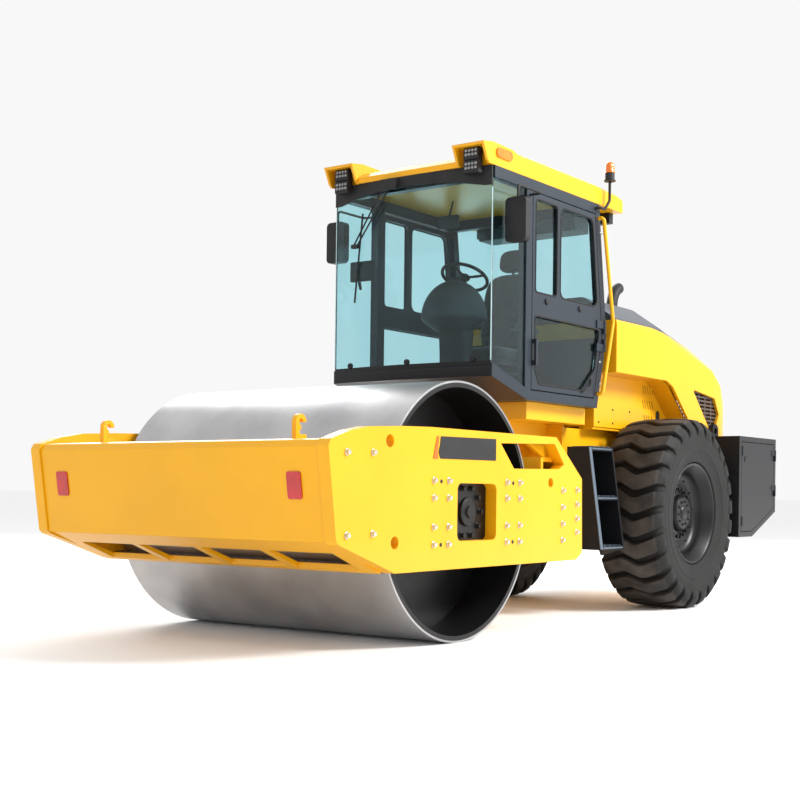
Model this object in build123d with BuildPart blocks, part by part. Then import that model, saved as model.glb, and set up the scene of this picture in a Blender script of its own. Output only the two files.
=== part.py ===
from build123d import *
from math import cos, radians, sin
import os

os.makedirs("parts", exist_ok=True)

# Single-drum road roller, hinged in the middle, with a steel drum in front and two tyres behind.
# Millimetres. +X is the machine's left, the drum is toward -Y and the ground is z = 0.
# Most lengths below are counted from the drum's axis or from the rear axle.

# Driving dimensions: drum, wheels and the distances between them
drum_d = 1600
drum_w = 2170
shell_t = 40
wheelbase = 3400
pin_reach = 1620
front_reach = 1422
rear_overhang = 1650
tyre_d = 1550
tyre_w = 580
tyre_gauge = 1700
rim_d = 780

# Where the main axes lie; the middle of the whole length is y = 0
drum_y = (front_reach - wheelbase - rear_overhang) / 2
drum_z = drum_d / 2
axle_y = drum_y + wheelbase
axle_z = tyre_d / 2
pin_y = drum_y + pin_reach
tail_y = axle_y + rear_overhang

# Drum frame
plate_t = 80
drum_gap = 45
plate_in = drum_w / 2 + drum_gap
plate_top = 1292
plate_low = 460
plate_rear = 1315
beam_depth = 440
beam_wall = 25
window_w = 430
window_h = 345
tie_hole_r = 36
rear_hole_r = 31

# Centre joint
hitch_z = drum_z
pin_r = 45
ear_t = 50
ear_r = 120
ear_spread = 300
ear_gap = 2
swivel_r = 110
fit_gap = 0.05
seat_gap = 0.3
arm_x = 300
arm_t = 30
eye_t = 60
eye_gap = 3
eye_r = 42
eye_bore_r = 22
cylinder_r = 48
neck_r = 32
neck_len = 35
rod_r = 26
barrel_len = 450
rod_len = 460

# Rear frame
chassis_w = 900
nose_w = 300
box_front_reach = 740
chassis_top = 1440
chassis_low = 560
axle_r = 130
rail_over = 5
step_w = 360
step_out = 930
box_out = 1150
box_low = 567
box_len = 850
lid_t = 30

# Cab, counted from the rear axle
cab_w = 1400
cab_front = axle_y - 2455
cab_bend = axle_y - 1990
post_y = axle_y - 2020
cab_rear = axle_y - 940
cab_bulge = 140
cab_low = 1588
cab_rail_z = 1720
cab_top = 3170
bulge_z = 2150
floor_t = 70
post_w = 80
post_t = 70
glass_t = 8
door_gap = 8
door_t = 40
roof_t = 150

# Hood
hood_w = 1500
hood_len = 2220
hood_wall = 25
flange_z = 1885
panel_w = 1080

half_cab = cab_w / 2
half_hood = hood_w / 2
hood_front = cab_rear + cab_bulge + 80
hood_rear = hood_front + hood_len
hood_low = chassis_top + 20


def outline(plane, points, corner=0):
    """Flat face through points given in the plane's own two directions."""
    with BuildSketch(plane) as face:
        with BuildLine():
            Polyline(*points, close=True)
        make_face()
        if corner:
            fillet(face.vertices(), corner)
    return face.sketch


def rect(plane, a0, a1, b0, b1, corner=0):
    """Rectangle between two values along each of the plane's directions."""
    with BuildSketch(plane) as face:
        with Locations(((a0 + a1) / 2, (b0 + b1) / 2)):
            if corner:
                RectangleRounded(a1 - a0, b1 - b0, corner)
            else:
                Rectangle(a1 - a0, b1 - b0)
    return face.sketch


def disc(plane, a, b, radius):
    """Round face about a point given in the plane's own two directions."""
    with BuildSketch(plane) as face:
        with Locations((a, b)):
            Circle(radius)
    return face.sketch


def side_plane(x):
    """Plane across x, with y and z as its directions, extruding toward the machine's left."""
    return Plane.YZ.offset(x)


def cross_plane(y):
    """Upright plane across y, with x and z as its directions, extruding toward the drum."""
    return Plane.XZ.offset(-y)


def finish(part, name):
    part.label = name
    export_step(part, "parts/" + name + ".step")


def from_drum(points):
    return [(drum_y + y, z) for y, z in points]


# Side plates of the drum frame, each with a window on the drum's axis and lifting holes
plate_outline = from_drum([
    (-front_reach, 1156), (20 - front_reach, 1190), (-1240, 1240), (-1078, 1269), (-799, plate_top - 8),
    (-500, plate_top), (plate_rear - 368, plate_top), (plate_rear - 13, 1022), (plate_rear, 514),
    (plate_rear - 85, plate_low + 10), (-830, plate_low), (-1328, 629), (72 - front_reach, 650)])
slant_window = from_drum([(258, 1227), (928, 1246), (1054, 1114), (993, 1082), (418, 1072)])
for side_name, side in (("left", 1), ("right", -1)):
    inner = side_plane(side * plate_in)
    with BuildPart() as drum_frame:
        extrude(outline(inner, plate_outline), amount=side * plate_t)
        extrude(rect(inner, drum_y - window_w / 2, drum_y + window_w / 2, drum_z - window_h / 2,
                     drum_z + window_h / 2, 40), amount=side * plate_t, mode=Mode.SUBTRACT)
        extrude(outline(inner, slant_window), amount=side * plate_t, mode=Mode.SUBTRACT)
        extrude(disc(inner, drum_y - 887, 1197, tie_hole_r), amount=side * plate_t, mode=Mode.SUBTRACT)
        extrude(disc(inner, drum_y - 834, 631, tie_hole_r), amount=side * plate_t, mode=Mode.SUBTRACT)
        extrude(disc(inner, drum_y + 880, 990, rear_hole_r), amount=side * plate_t, mode=Mode.SUBTRACT)
    finish(drum_frame.part, "drum_frame_" + side_name)

# Hollow front beam between the plates, with an open pan that slopes down to the drum
beam_set = 12
beam_top = 1197
beam_back = beam_depth - front_reach
beam_outline = from_drum([
    (beam_set - front_reach, 1150), (beam_set + 22 - front_reach, 1186), (-1320, beam_top),
    (beam_back, beam_top), (beam_back, 640), (85 - front_reach, 640)])
beam_hollow = from_drum([
    (beam_wall + beam_set - front_reach, 1140), (beam_wall + beam_set + 18 - front_reach, 1160),
    (beam_back - beam_wall, beam_top - beam_wall), (beam_back - beam_wall, 668),
    (85 + beam_wall - front_reach, 668)])
pan_outline = from_drum([(100 - front_reach, 640), (140 - front_reach, 640), (-835, 480), (-860, 455)])
pan_bays = 4
pan_bay = 470
pan_rib = 60
with BuildPart() as front_beam:
    extrude(outline(side_plane(-plate_in), beam_outline), amount=2 * plate_in)
    extrude(outline(side_plane(-plate_in + beam_wall), beam_hollow), amount=2 * (plate_in - beam_wall),
            mode=Mode.SUBTRACT)
    extrude(outline(side_plane(-plate_in), pan_outline), amount=2 * plate_in)
    with BuildSketch(Plane.XY.offset(plate_low - 60)):
        with Locations((0, drum_y - 1030)):
            with GridLocations(pan_bay + pan_rib, 1, pan_bays, 1):
                Rectangle(pan_bay, 260)
    extrude(amount=230, mode=Mode.SUBTRACT)
finish(front_beam.part, "front_beam")

# Two hooks on the beam's top
hook_x = 789
hook_t = 30
hook_y = drum_y - 1197
hook_foot = beam_top
with BuildPart() as beam_hooks:
    with BuildSketch(side_plane(hook_x - hook_t / 2)):
        with Locations((hook_y + 29, hook_foot + 100)):
            Circle(45)
            Circle(18, mode=Mode.SUBTRACT)
        with Locations((hook_y + 64, hook_foot + 70)):
            Rectangle(70, 60, mode=Mode.SUBTRACT)
        with Locations((hook_y, hook_foot + 50)):
            Rectangle(32, 100)
        with Locations((hook_y + 30, hook_foot + 18)):
            Rectangle(90, 28)
    extrude(amount=hook_t)
    mirror(about=Plane.YZ)
finish(beam_hooks.part, "beam_hooks")

# Red reflectors on the beam's leaning face
lean = (85 - beam_set) / (1150 - 640)
with BuildPart() as reflectors:
    with BuildSketch(Plane(origin=(0, drum_y - front_reach + beam_set + lean * (1150 - 944), 944),
                           x_dir=(1, 0, 0), z_dir=(0, -1, -lean))):
        with Locations((-946, 0), (946, 0)):
            RectangleRounded(100, 150, 16)
    extrude(amount=8)
finish(reflectors.part, "reflectors")

# Rear cross member of the drum frame, a closed box with the bearing that lets the frames roll
yoke_front = drum_y + 885
yoke_rear = drum_y + 1275
yoke_t = 30
yoke_low = 520
yoke_top = 1160
yoke_side = 980
bearing_r = 190
bearing_len = 200
bearing_back = yoke_rear + 30
with BuildPart() as rear_yoke:
    extrude(outline(side_plane(-plate_in), [
        (yoke_front, yoke_low), (yoke_rear, yoke_low), (yoke_rear, yoke_side),
        (yoke_rear - 220, yoke_top), (yoke_front, yoke_top)]), amount=2 * plate_in)
    extrude(outline(side_plane(-plate_in), [
        (yoke_front + yoke_t, yoke_low + yoke_t), (yoke_rear - yoke_t, yoke_low + yoke_t),
        (yoke_rear - yoke_t, yoke_side - 14), (yoke_rear - 232, yoke_top - yoke_t),
        (yoke_front + yoke_t, yoke_top - yoke_t)]), amount=2 * plate_in, mode=Mode.SUBTRACT)
    extrude(disc(cross_plane(bearing_back), 0, hitch_z, bearing_r), amount=bearing_len)
    extrude(disc(cross_plane(bearing_back), 0, hitch_z, swivel_r + fit_gap), amount=bearing_len,
            mode=Mode.SUBTRACT)
finish(rear_yoke.part, "rear_yoke")

# Drum: rolled shell with a thick disc inside each end and a bearing seat in the disc
drum_disc_set = 330
drum_disc_t = 35
seat_r = 150
with BuildPart() as drum:
    with BuildSketch(side_plane(-drum_w / 2)):
        with Locations((drum_y, drum_z)):
            Circle(drum_d / 2)
            Circle(drum_d / 2 - shell_t, mode=Mode.SUBTRACT)
    extrude(amount=drum_w)
    for x in (-drum_w / 2 + drum_disc_set, drum_w / 2 - drum_disc_set - drum_disc_t):
        with BuildSketch(side_plane(x)):
            with Locations((drum_y, drum_z)):
                Circle(drum_d / 2 - shell_t)
                Circle(seat_r + fit_gap, mode=Mode.SUBTRACT)
        extrude(amount=drum_disc_t)
finish(drum.part, "drum")

# Carriers between the side plates and the drum: a wide flange on the plate and a bearing spigot
carrier_r = 330
carrier_t = 120
with BuildPart() as drum_carriers:
    extrude(disc(side_plane(plate_in), drum_y, drum_z, carrier_r), amount=-carrier_t)
    extrude(disc(side_plane(plate_in - carrier_t), drum_y, drum_z, seat_r),
            amount=-(drum_gap + drum_disc_set + drum_disc_t + 25 - carrier_t))
    mirror(about=Plane.YZ)
finish(drum_carriers.part, "drum_carriers")

# Scraper bars along the drum, in front and behind, held by the side plates
scraper_gap = 12
scraper_t = 28
scraper_h = 70
with BuildPart() as scrapers:
    for turn in (202, -18):
        out = (cos(radians(turn)), sin(radians(turn)))
        along = (-out[1], out[0])
        near = drum_d / 2 + scraper_gap
        corners = [(drum_y + out[0] * a + along[0] * b, drum_z + out[1] * a + along[1] * b)
                   for a, b in ((near, -scraper_t / 2), (near + scraper_h, -scraper_t / 2),
                                (near + scraper_h, scraper_t / 2), (near, scraper_t / 2))]
        extrude(outline(side_plane(-plate_in), corners), amount=2 * plate_in)
finish(scrapers.part, "scrapers")

# Hitch: block on the steering pin, round roll shaft into the cross member, arms for the rod eyes
ear_top = hitch_z + ear_spread / 2
ear_bottom = hitch_z - ear_spread / 2
block_top = ear_top - ear_gap
block_bottom = ear_bottom + ear_gap
block_front = bearing_back + 10
shaft_back = pin_y - ear_r + 30
arm_levels = (hitch_z - eye_t / 2 - eye_gap - arm_t, hitch_z + eye_t / 2 + eye_gap)
with BuildPart() as hitch:
    with BuildSketch(Plane.XY.offset(block_bottom)):
        with Locations((0, pin_y)):
            Circle(ear_r)
        with Locations((0, (block_front + pin_y) / 2)):
            Rectangle(2 * ear_r, pin_y - block_front)
    extrude(amount=block_top - block_bottom)
    with BuildSketch(Plane.XY.offset(ear_bottom - ear_t - 20)):
        with Locations((0, pin_y)):
            Circle(pin_r)
    extrude(amount=ear_spread + 2 * ear_t + 40)
    extrude(disc(cross_plane(shaft_back), 0, hitch_z, swivel_r), amount=shaft_back - bearing_back
            + bearing_len)
    for low in arm_levels:
        with BuildSketch(Plane.XY.offset(low)):
            with BuildLine():
                Polyline((-ear_r, pin_y - 90), (ear_r, pin_y - 90), (arm_x + 10, pin_y - 50),
                         (arm_x + 10, pin_y + 45), (ear_r - 20, pin_y + 70),
                         (-ear_r + 20, pin_y + 70), (-arm_x - 10, pin_y + 45),
                         (-arm_x - 10, pin_y - 50), close=True)
            make_face()
            with Locations((-arm_x, pin_y), (arm_x, pin_y)):
                Circle(eye_r + 6)
                Circle(eye_bore_r, mode=Mode.SUBTRACT)
        extrude(amount=arm_t)
finish(hitch.part, "hitch")

# Front of the rear frame: ears about the steering pin and a narrow nose behind them
box_front_y = pin_y + box_front_reach
nose_back = pin_y + 190
with BuildPart() as frame_nose:
    for low in (ear_bottom - ear_t, ear_top):
        with BuildSketch(Plane.XY.offset(low)):
            with BuildLine():
                Polyline((-ear_r, pin_y), (ear_r, pin_y), (nose_w / 2, nose_back),
                         (nose_w / 2, box_front_y), (-nose_w / 2, box_front_y),
                         (-nose_w / 2, nose_back), close=True)
            make_face()
            with Locations((0, pin_y)):
                Circle(ear_r)
                Circle(pin_r + fit_gap, mode=Mode.SUBTRACT)
        extrude(amount=ear_t)
    extrude(outline(side_plane(-nose_w / 2), [
        (nose_back, ear_bottom - ear_t), (box_front_y, chassis_low), (box_front_y, chassis_top),
        (nose_back + 260, ear_top + ear_t), (nose_back, ear_top + ear_t)]), amount=nose_w)
finish(frame_nose.part, "frame_nose")

# Rear frame: a deep open box between the wheels, side rails under the hood and ears at its hinge
chassis_rear = tail_y - 60
chassis_t = 30
barrel_y = box_front_y - 50
rail_top = hood_low - seat_gap
rail_side = panel_w / 2 + rail_over
hood_pivot_y = hood_rear - 20
hood_pivot_z = hood_low + 15
hood_pin_r = 8
hood_knuckle_r = 14
hood_knuckle_x = 300
hood_knuckle_len = 42
hood_ear_t = 15
hood_ear_x = hood_knuckle_x + hood_knuckle_len + seat_gap
with BuildPart() as chassis:
    extrude(rect(side_plane(-chassis_w / 2), box_front_y, chassis_rear, chassis_low, chassis_top),
            amount=chassis_w)
    extrude(rect(side_plane(-chassis_w / 2 + chassis_t), box_front_y + chassis_t,
                 chassis_rear - chassis_t, chassis_low + 60, chassis_top + 10),
            amount=chassis_w - 2 * chassis_t, mode=Mode.SUBTRACT)
    extrude(rect(side_plane(-chassis_w / 2 + chassis_t), hood_pivot_y - 40, chassis_rear - chassis_t,
                 chassis_top - 20, chassis_top), amount=chassis_w - 2 * chassis_t)
    for side in (1, -1):
        extrude(rect(side_plane(side * (chassis_w / 2 - chassis_t)), hood_front, hood_pivot_y - 60,
                     chassis_top, rail_top), amount=side * (rail_side - chassis_w / 2 + chassis_t))
        ear_plane = side_plane(side * hood_ear_x)
        extrude(disc(ear_plane, hood_pivot_y, hood_pivot_z, hood_knuckle_r), amount=side * hood_ear_t)
        extrude(rect(ear_plane, hood_pivot_y - hood_knuckle_r, hood_pivot_y + hood_knuckle_r,
                     chassis_top, hood_pivot_z), amount=side * hood_ear_t)
        extrude(disc(side_plane(side * hood_knuckle_x), hood_pivot_y, hood_pivot_z, hood_pin_r),
                amount=side * (hood_knuckle_len + hood_ear_t))
    for x in (-arm_x, arm_x):
        for low in arm_levels:
            with BuildSketch(Plane.XY.offset(low)):
                with Locations((x, barrel_y)):
                    Circle(eye_r + 6)
                with Locations((x, barrel_y + 26)):
                    Rectangle(2 * eye_r + 12, 52)
            extrude(amount=arm_t)
        with BuildSketch(Plane.XY.offset(arm_levels[0])):
            with Locations((x, barrel_y)):
                Circle(eye_bore_r)
        extrude(amount=eye_t + 2 * arm_t)
finish(chassis.part, "chassis")

# Steering cylinders: barrels pinned to the rear frame, rods reaching the hitch's arms
for side_name, side in (("left", 1), ("right", -1)):
    x = side * arm_x
    with BuildPart() as steer_barrel:
        extrude(disc(cross_plane(barrel_y - 30), x, hitch_z, neck_r), amount=neck_len)
        extrude(disc(cross_plane(barrel_y - 30 - neck_len), x, hitch_z, cylinder_r),
                amount=barrel_len - 30 - neck_len)
        with BuildSketch(Plane.XY.offset(hitch_z - eye_t / 2)):
            with Locations((x, barrel_y)):
                Circle(eye_r)
        extrude(amount=eye_t)
        with BuildSketch(Plane.XY.offset(hitch_z - eye_t)):
            with Locations((x, barrel_y)):
                Circle(eye_bore_r + fit_gap)
        extrude(amount=2 * eye_t, mode=Mode.SUBTRACT)
        extrude(disc(cross_plane(barrel_y - eye_r - 8), x, hitch_z, rod_r + fit_gap),
                amount=barrel_len, mode=Mode.SUBTRACT)
    finish(steer_barrel.part, "steer_barrel_" + side_name)
    with BuildPart() as steer_rod:
        extrude(disc(cross_plane(pin_y + rod_len), x, hitch_z, rod_r), amount=rod_len - eye_r + 10)
        with BuildSketch(Plane.XY.offset(hitch_z - eye_t / 2)):
            with Locations((x, pin_y)):
                Circle(eye_r)
                Circle(eye_bore_r, mode=Mode.SUBTRACT)
        extrude(amount=eye_t)
    finish(steer_rod.part, "steer_rod_" + side_name)

# Rear axle through the frame, with a hub flange at each end
hub_x = tyre_gauge / 2 - 60
hub_r = 200
hub_t = 40
hub_gap = seat_gap
with BuildPart() as axle:
    extrude(disc(side_plane(chassis_w / 2), axle_y, axle_z, axle_r),
            amount=hub_x - hub_t - chassis_w / 2)
    extrude(disc(side_plane(hub_x - hub_t), axle_y, axle_z, hub_r), amount=hub_t - hub_gap)
    mirror(about=Plane.YZ)
finish(axle.part, "axle")

# Rims: one turned shape from flange to flange, with the disc set in and a hub cap
rim_r = rim_d / 2
bead_w = tyre_w - 120
flange_t = 15
flange_h = 23
barrel_t = 30
disc_t = 30
disc_u = tyre_gauge / 2 - hub_x
cap_r = 150
cap_len = 80
half_bead = bead_w / 2 + seat_gap
rim_profile = [
    (-disc_u, 0), (-disc_u, rim_r - 65), (25 - half_bead, rim_r - 40), (-half_bead - flange_t, rim_r - 22),
    (-half_bead - flange_t, rim_r + flange_h), (-half_bead, rim_r + flange_h), (-half_bead, rim_r),
    (half_bead, rim_r), (half_bead, rim_r + flange_h), (half_bead + flange_t, rim_r + flange_h),
    (half_bead + flange_t, rim_r - 16), (half_bead - 25, rim_r - barrel_t),
    (half_bead - 65, rim_r - barrel_t - 22), (disc_t - disc_u + 20, rim_r - barrel_t - 34),
    (disc_t - disc_u, rim_r - barrel_t - 60), (disc_t - disc_u, cap_r + 20), (disc_t - disc_u + 10, cap_r),
    (disc_t - disc_u + cap_len - 20, cap_r - 10), (disc_t - disc_u + cap_len, cap_r - 30),
    (disc_t - disc_u + cap_len, 0)]

# Tyres: a many-sided casing with bent lugs that run from one side wall over the tread to the other
tyre_r = tyre_d / 2
half_tyre = tyre_w / 2
lug_count = 26
lug_h = 50
lug_w = 138
lug_bend = 39
casing_sides = 32
casing = [(bead_w / 2, rim_r + 30), (half_tyre - 9, rim_r + 170), (half_tyre - 11, tyre_r - lug_h - 65),
          (half_tyre - 54, tyre_r - lug_h)]
tread = [(half_tyre, tyre_r - 125), (half_tyre - 4, tyre_r - 80), (half_tyre - 52, tyre_r - 13),
         (half_tyre - 145, tyre_r)]
bends = [(-half_tyre, -lug_bend), (-0.11 * tyre_w, lug_bend), (0.13 * tyre_w, -lug_bend),
         (half_tyre, lug_bend)]


def ring(mid, profile):
    """Many-sided ring through (reach from the middle, radius) pairs, the same on both sides."""
    stations = [(mid - reach, radius) for reach, radius in profile]
    stations += [(mid + reach, radius) for reach, radius in reversed(profile)]
    with BuildPart() as made:
        for x, radius in stations:
            with BuildSketch(side_plane(x)):
                with Locations((axle_y, axle_z)):
                    RegularPolygon(radius, casing_sides)
        loft(ruled=True)
    return made.part


def lugs(mid, side):
    """Bent bars round the tread, each standing out from inside the casing."""
    line = [(mid + side * x, t) for x, t in bends]
    bar = [(x, axle_y + t - lug_w / 2) for x, t in line]
    bar += [(x, axle_y + t + lug_w / 2) for x, t in line[::-1]]
    with BuildPart() as one:
        extrude(outline(Plane.XY.offset(axle_z + tyre_r - 160), bar), amount=170)
    spin_line = Axis((0, axle_y, axle_z), (1, 0, 0))
    with BuildPart() as made:
        for number in range(lug_count):
            add(one.part.rotate(spin_line, number * 360 / lug_count))
    return made.part


for side_name, side in (("left", 1), ("right", -1)):
    mid = side * tyre_gauge / 2
    wheel_axis = Axis((0, axle_y, axle_z), (1, 0, 0))
    with BuildPart() as rim:
        revolve(outline(Plane.XY.offset(axle_z), [(mid + side * u, axle_y + r) for u, r in rim_profile]),
                axis=wheel_axis)
    finish(rim.part, "rim_" + side_name)

wheel_mid = tyre_gauge / 2
with BuildPart() as tyre:
    add(lugs(wheel_mid, 1))
    add(ring(wheel_mid, tread), mode=Mode.INTERSECT)
    add(ring(wheel_mid, casing))
    extrude(disc(side_plane(wheel_mid - half_tyre), axle_y, axle_z, rim_r), amount=tyre_w,
            mode=Mode.SUBTRACT)
finish(tyre.part, "tyre_left")
finish(tyre.part.mirror(Plane.YZ), "tyre_right")

# Ladders in front of the tyres, with treads between two cheeks, hung on the frame's side
step_front = axle_y - tyre_d / 2 - 485
step_rear = step_front + step_w
step_in = chassis_w / 2 + 170
step_top = 1280
step_low = 500
step_slope = 110
cheek_t = 20
step_treads = 3


def step_reach(z):
    """How far out the ladder's front edge lies at height z."""
    return step_out - step_slope * (z - step_low) / (step_top - step_low)


for side_name, side in (("left", 1), ("right", -1)):
    with BuildPart() as steps:
        cheek = [(side * step_in, step_low), (side * step_reach(step_low), step_low),
                 (side * step_reach(step_top), step_top), (side * step_in, step_top)]
        for y in (step_front + cheek_t, step_rear):
            extrude(outline(cross_plane(y), cheek), amount=cheek_t)
        back = [(side * step_in, step_low), (side * (step_in + 15), step_low),
                (side * (step_in + 15), step_top), (side * step_in, step_top)]
        extrude(outline(cross_plane(step_rear), back), amount=step_w)
        for number in range(step_treads):
            z = step_low + number * (step_top - step_low - 30) / (step_treads - 1)
            tread = [(side * step_in, z), (side * step_reach(z + 30), z),
                     (side * step_reach(z + 30), z + 30), (side * step_in, z + 30)]
            extrude(outline(cross_plane(step_rear), tread), amount=step_w)
        arm = [(side * chassis_w / 2, 980), (side * step_in, 980), (side * step_in, 1060),
               (side * chassis_w / 2, 1060)]
        extrude(outline(cross_plane(step_rear), arm), amount=step_rear - box_front_y - 10)
    finish(steps.part, "steps_" + side_name)

# Deck that carries the cab, above the frame's nose
deck_front = cab_bend + 160
deck_back = box_front_y + 90
deck_w = 1200
deck_low = chassis_top + 20
with BuildPart() as cab_deck:
    extrude(rect(side_plane(-deck_w / 2), deck_front, deck_back, deck_low, cab_low), amount=deck_w)
    extrude(rect(side_plane(-chassis_w / 2), box_front_y, box_front_y + chassis_t, chassis_top, deck_low),
            amount=chassis_w)
    for x in (-320, 290):
        extrude(outline(side_plane(x), [
            (deck_front + 100, deck_low), (box_front_y, deck_low), (box_front_y, deck_low - 280)]),
            amount=30)
finish(cab_deck.part, "cab_deck")

# Cab floor with its bent front and bowed front rail
glass_bow = 60
rail_h = 96
glass_side = half_cab - 10
floor_top = cab_low + floor_t
floor_line = [(cab_front, cab_rail_z), (cab_bend, cab_low), (cab_rear, cab_low),
              (cab_rear + cab_bulge * floor_t / (bulge_z - cab_low), floor_top),
              (cab_bend + 20, floor_top), (cab_front, cab_rail_z + rail_h)]
with BuildPart() as cab_floor:
    extrude(outline(side_plane(-half_cab), floor_line), amount=cab_w)
    with BuildSketch(Plane.XY.offset(cab_rail_z)):
        with BuildLine():
            ThreePointArc((-glass_side, cab_front), (0, cab_front - glass_bow), (glass_side, cab_front))
            Line((glass_side, cab_front), (-glass_side, cab_front))
        make_face()
    extrude(amount=rail_h)
finish(cab_floor.part, "cab_floor")

# Place of the door hinges on the rear posts
door_back = post_t + door_gap
hinge_x = half_cab + 15
hinge_y = cab_rear + cab_bulge - door_back + 18
hinge_z = 60
knuckle_r = 12
knuckle_h = 60
fixed_knuckle_h = 40

# Cab frame: middle posts, bent rear posts, roof ring and the rear wall below the window
rear_post = [(cab_rear - post_t, cab_low), (cab_rear, cab_low), (cab_rear + cab_bulge, bulge_z),
             (cab_rear, cab_top), (cab_rear - post_t, cab_top), (cab_rear + cab_bulge - post_t, bulge_z)]
rear_wall_t = 30
rear_wall = [(cab_rear - rear_wall_t, cab_low), (cab_rear, cab_low), (cab_rear + cab_bulge, bulge_z),
             (cab_rear + cab_bulge - rear_wall_t, bulge_z)]
ring_h = 80
ring_low = cab_top - ring_h
post_side = half_cab - post_t
with BuildPart() as cab_frame:
    extrude(rect(side_plane(post_side), post_y, post_y + post_w, floor_top, cab_top), amount=post_t)
    extrude(outline(side_plane(post_side), rear_post), amount=post_t)
    extrude(rect(side_plane(post_side), cab_front + 10, cab_rear, ring_low, cab_top), amount=post_t)
    mirror(about=Plane.YZ)
    for y0, y1 in ((cab_front + 10, cab_front + 80), (cab_rear - post_t, cab_rear - 5)):
        extrude(rect(side_plane(-post_side), y0, y1, ring_low, cab_top), amount=2 * post_side)
    for side in (1, -1):
        for z in (bulge_z - hinge_z + seat_gap, bulge_z + hinge_z - seat_gap - fixed_knuckle_h):
            extrude(disc(Plane.XY.offset(z), side * hinge_x, hinge_y, knuckle_r), amount=fixed_knuckle_h)
            extrude(rect(Plane.XY.offset(z), side * (half_cab + 7) - 8, side * (half_cab + 7) + 8,
                         hinge_y - 7, hinge_y + 9), amount=fixed_knuckle_h)
    extrude(outline(side_plane(-post_side), rear_wall), amount=2 * post_side)
    extrude(outline(side_plane(-half_cab), floor_line), amount=cab_w, mode=Mode.SUBTRACT)
finish(cab_frame.part, "cab_frame")

# Windshield, bowed across, and the fixed side panes ahead of the middle posts
with BuildPart() as windshield:
    with BuildSketch(Plane.XY.offset(cab_rail_z + rail_h)):
        with BuildLine():
            ThreePointArc((-glass_side, cab_front), (0, cab_front - glass_bow), (glass_side, cab_front))
            Line((glass_side, cab_front), (glass_side, cab_front + glass_t))
            ThreePointArc((glass_side, cab_front + glass_t), (0, cab_front - glass_bow + glass_t),
                          (-glass_side, cab_front + glass_t))
            Line((-glass_side, cab_front + glass_t), (-glass_side, cab_front))
        make_face()
    extrude(amount=cab_top - cab_rail_z - rail_h)
finish(windshield.part, "windshield")

pane_front = cab_front + glass_t
floor_slope = (cab_rail_z + rail_h - floor_top) / (cab_bend + 20 - cab_front)
with BuildPart() as side_glass:
    extrude(outline(side_plane(glass_side - glass_t), [
        (pane_front, cab_rail_z + rail_h - floor_slope * glass_t),
        (post_y, cab_rail_z + rail_h - floor_slope * (post_y - cab_front)),
        (post_y, ring_low), (pane_front, ring_low)]), amount=glass_t)
    mirror(about=Plane.YZ)
finish(side_glass.part, "side_glass")

with BuildPart() as rear_window:
    extrude(outline(side_plane(-post_side), [
        (cab_rear + cab_bulge - rear_wall_t, bulge_z),
        (cab_rear + cab_bulge - rear_wall_t + glass_t, bulge_z),
        (cab_rear - rear_wall_t + glass_t, ring_low), (cab_rear - rear_wall_t, ring_low)]),
        amount=2 * post_side)
finish(rear_window.part, "rear_window")

# Doors, hinged on the rear posts just outside their widest place
door_front = post_y + post_w + door_gap
door_low = floor_top + door_gap
door_top = ring_low - door_gap
mid_low = 2200
mid_top = 2370
bar_w = 42


def rear_line(z, setback):
    """Place of the rear post's bent line at height z, moved forward by a setback."""
    if z < bulge_z:
        share = (z - cab_low) / (bulge_z - cab_low)
    else:
        share = (cab_top - z) / (cab_top - bulge_z)
    return cab_rear + cab_bulge * share - setback


pane_back = door_back + bar_w
handle_z = 1935
handle_out = 34
door_outline = [(door_front, door_low), (rear_line(door_low, door_back), door_low),
                (rear_line(bulge_z, door_back), bulge_z), (rear_line(door_top, door_back), door_top),
                (door_front, door_top)]
mullion_y = door_front + 350
mullion_w = 50
front_pane = [(door_front + bar_w, mid_top), (mullion_y, mid_top), (mullion_y, door_top - bar_w),
              (door_front + bar_w, door_top - bar_w)]
upper_pane = [(mullion_y + mullion_w, mid_top), (rear_line(mid_top, pane_back), mid_top),
              (rear_line(door_top - bar_w, pane_back), door_top - bar_w),
              (mullion_y + mullion_w, door_top - bar_w)]
lower_pane = [(door_front + bar_w, door_low + 150), (door_front + bar_w + 60, door_low + bar_w),
              (rear_line(door_low, pane_back) - 150, door_low + bar_w),
              (rear_line(door_low + 210, pane_back), door_low + 210),
              (rear_line(bulge_z, pane_back), bulge_z), (rear_line(mid_low, pane_back), mid_low),
              (door_front + bar_w, mid_low)]
door_in = half_cab - door_t
door_panes = ((front_pane, 30), (upper_pane, 60), (lower_pane, 24))
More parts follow.
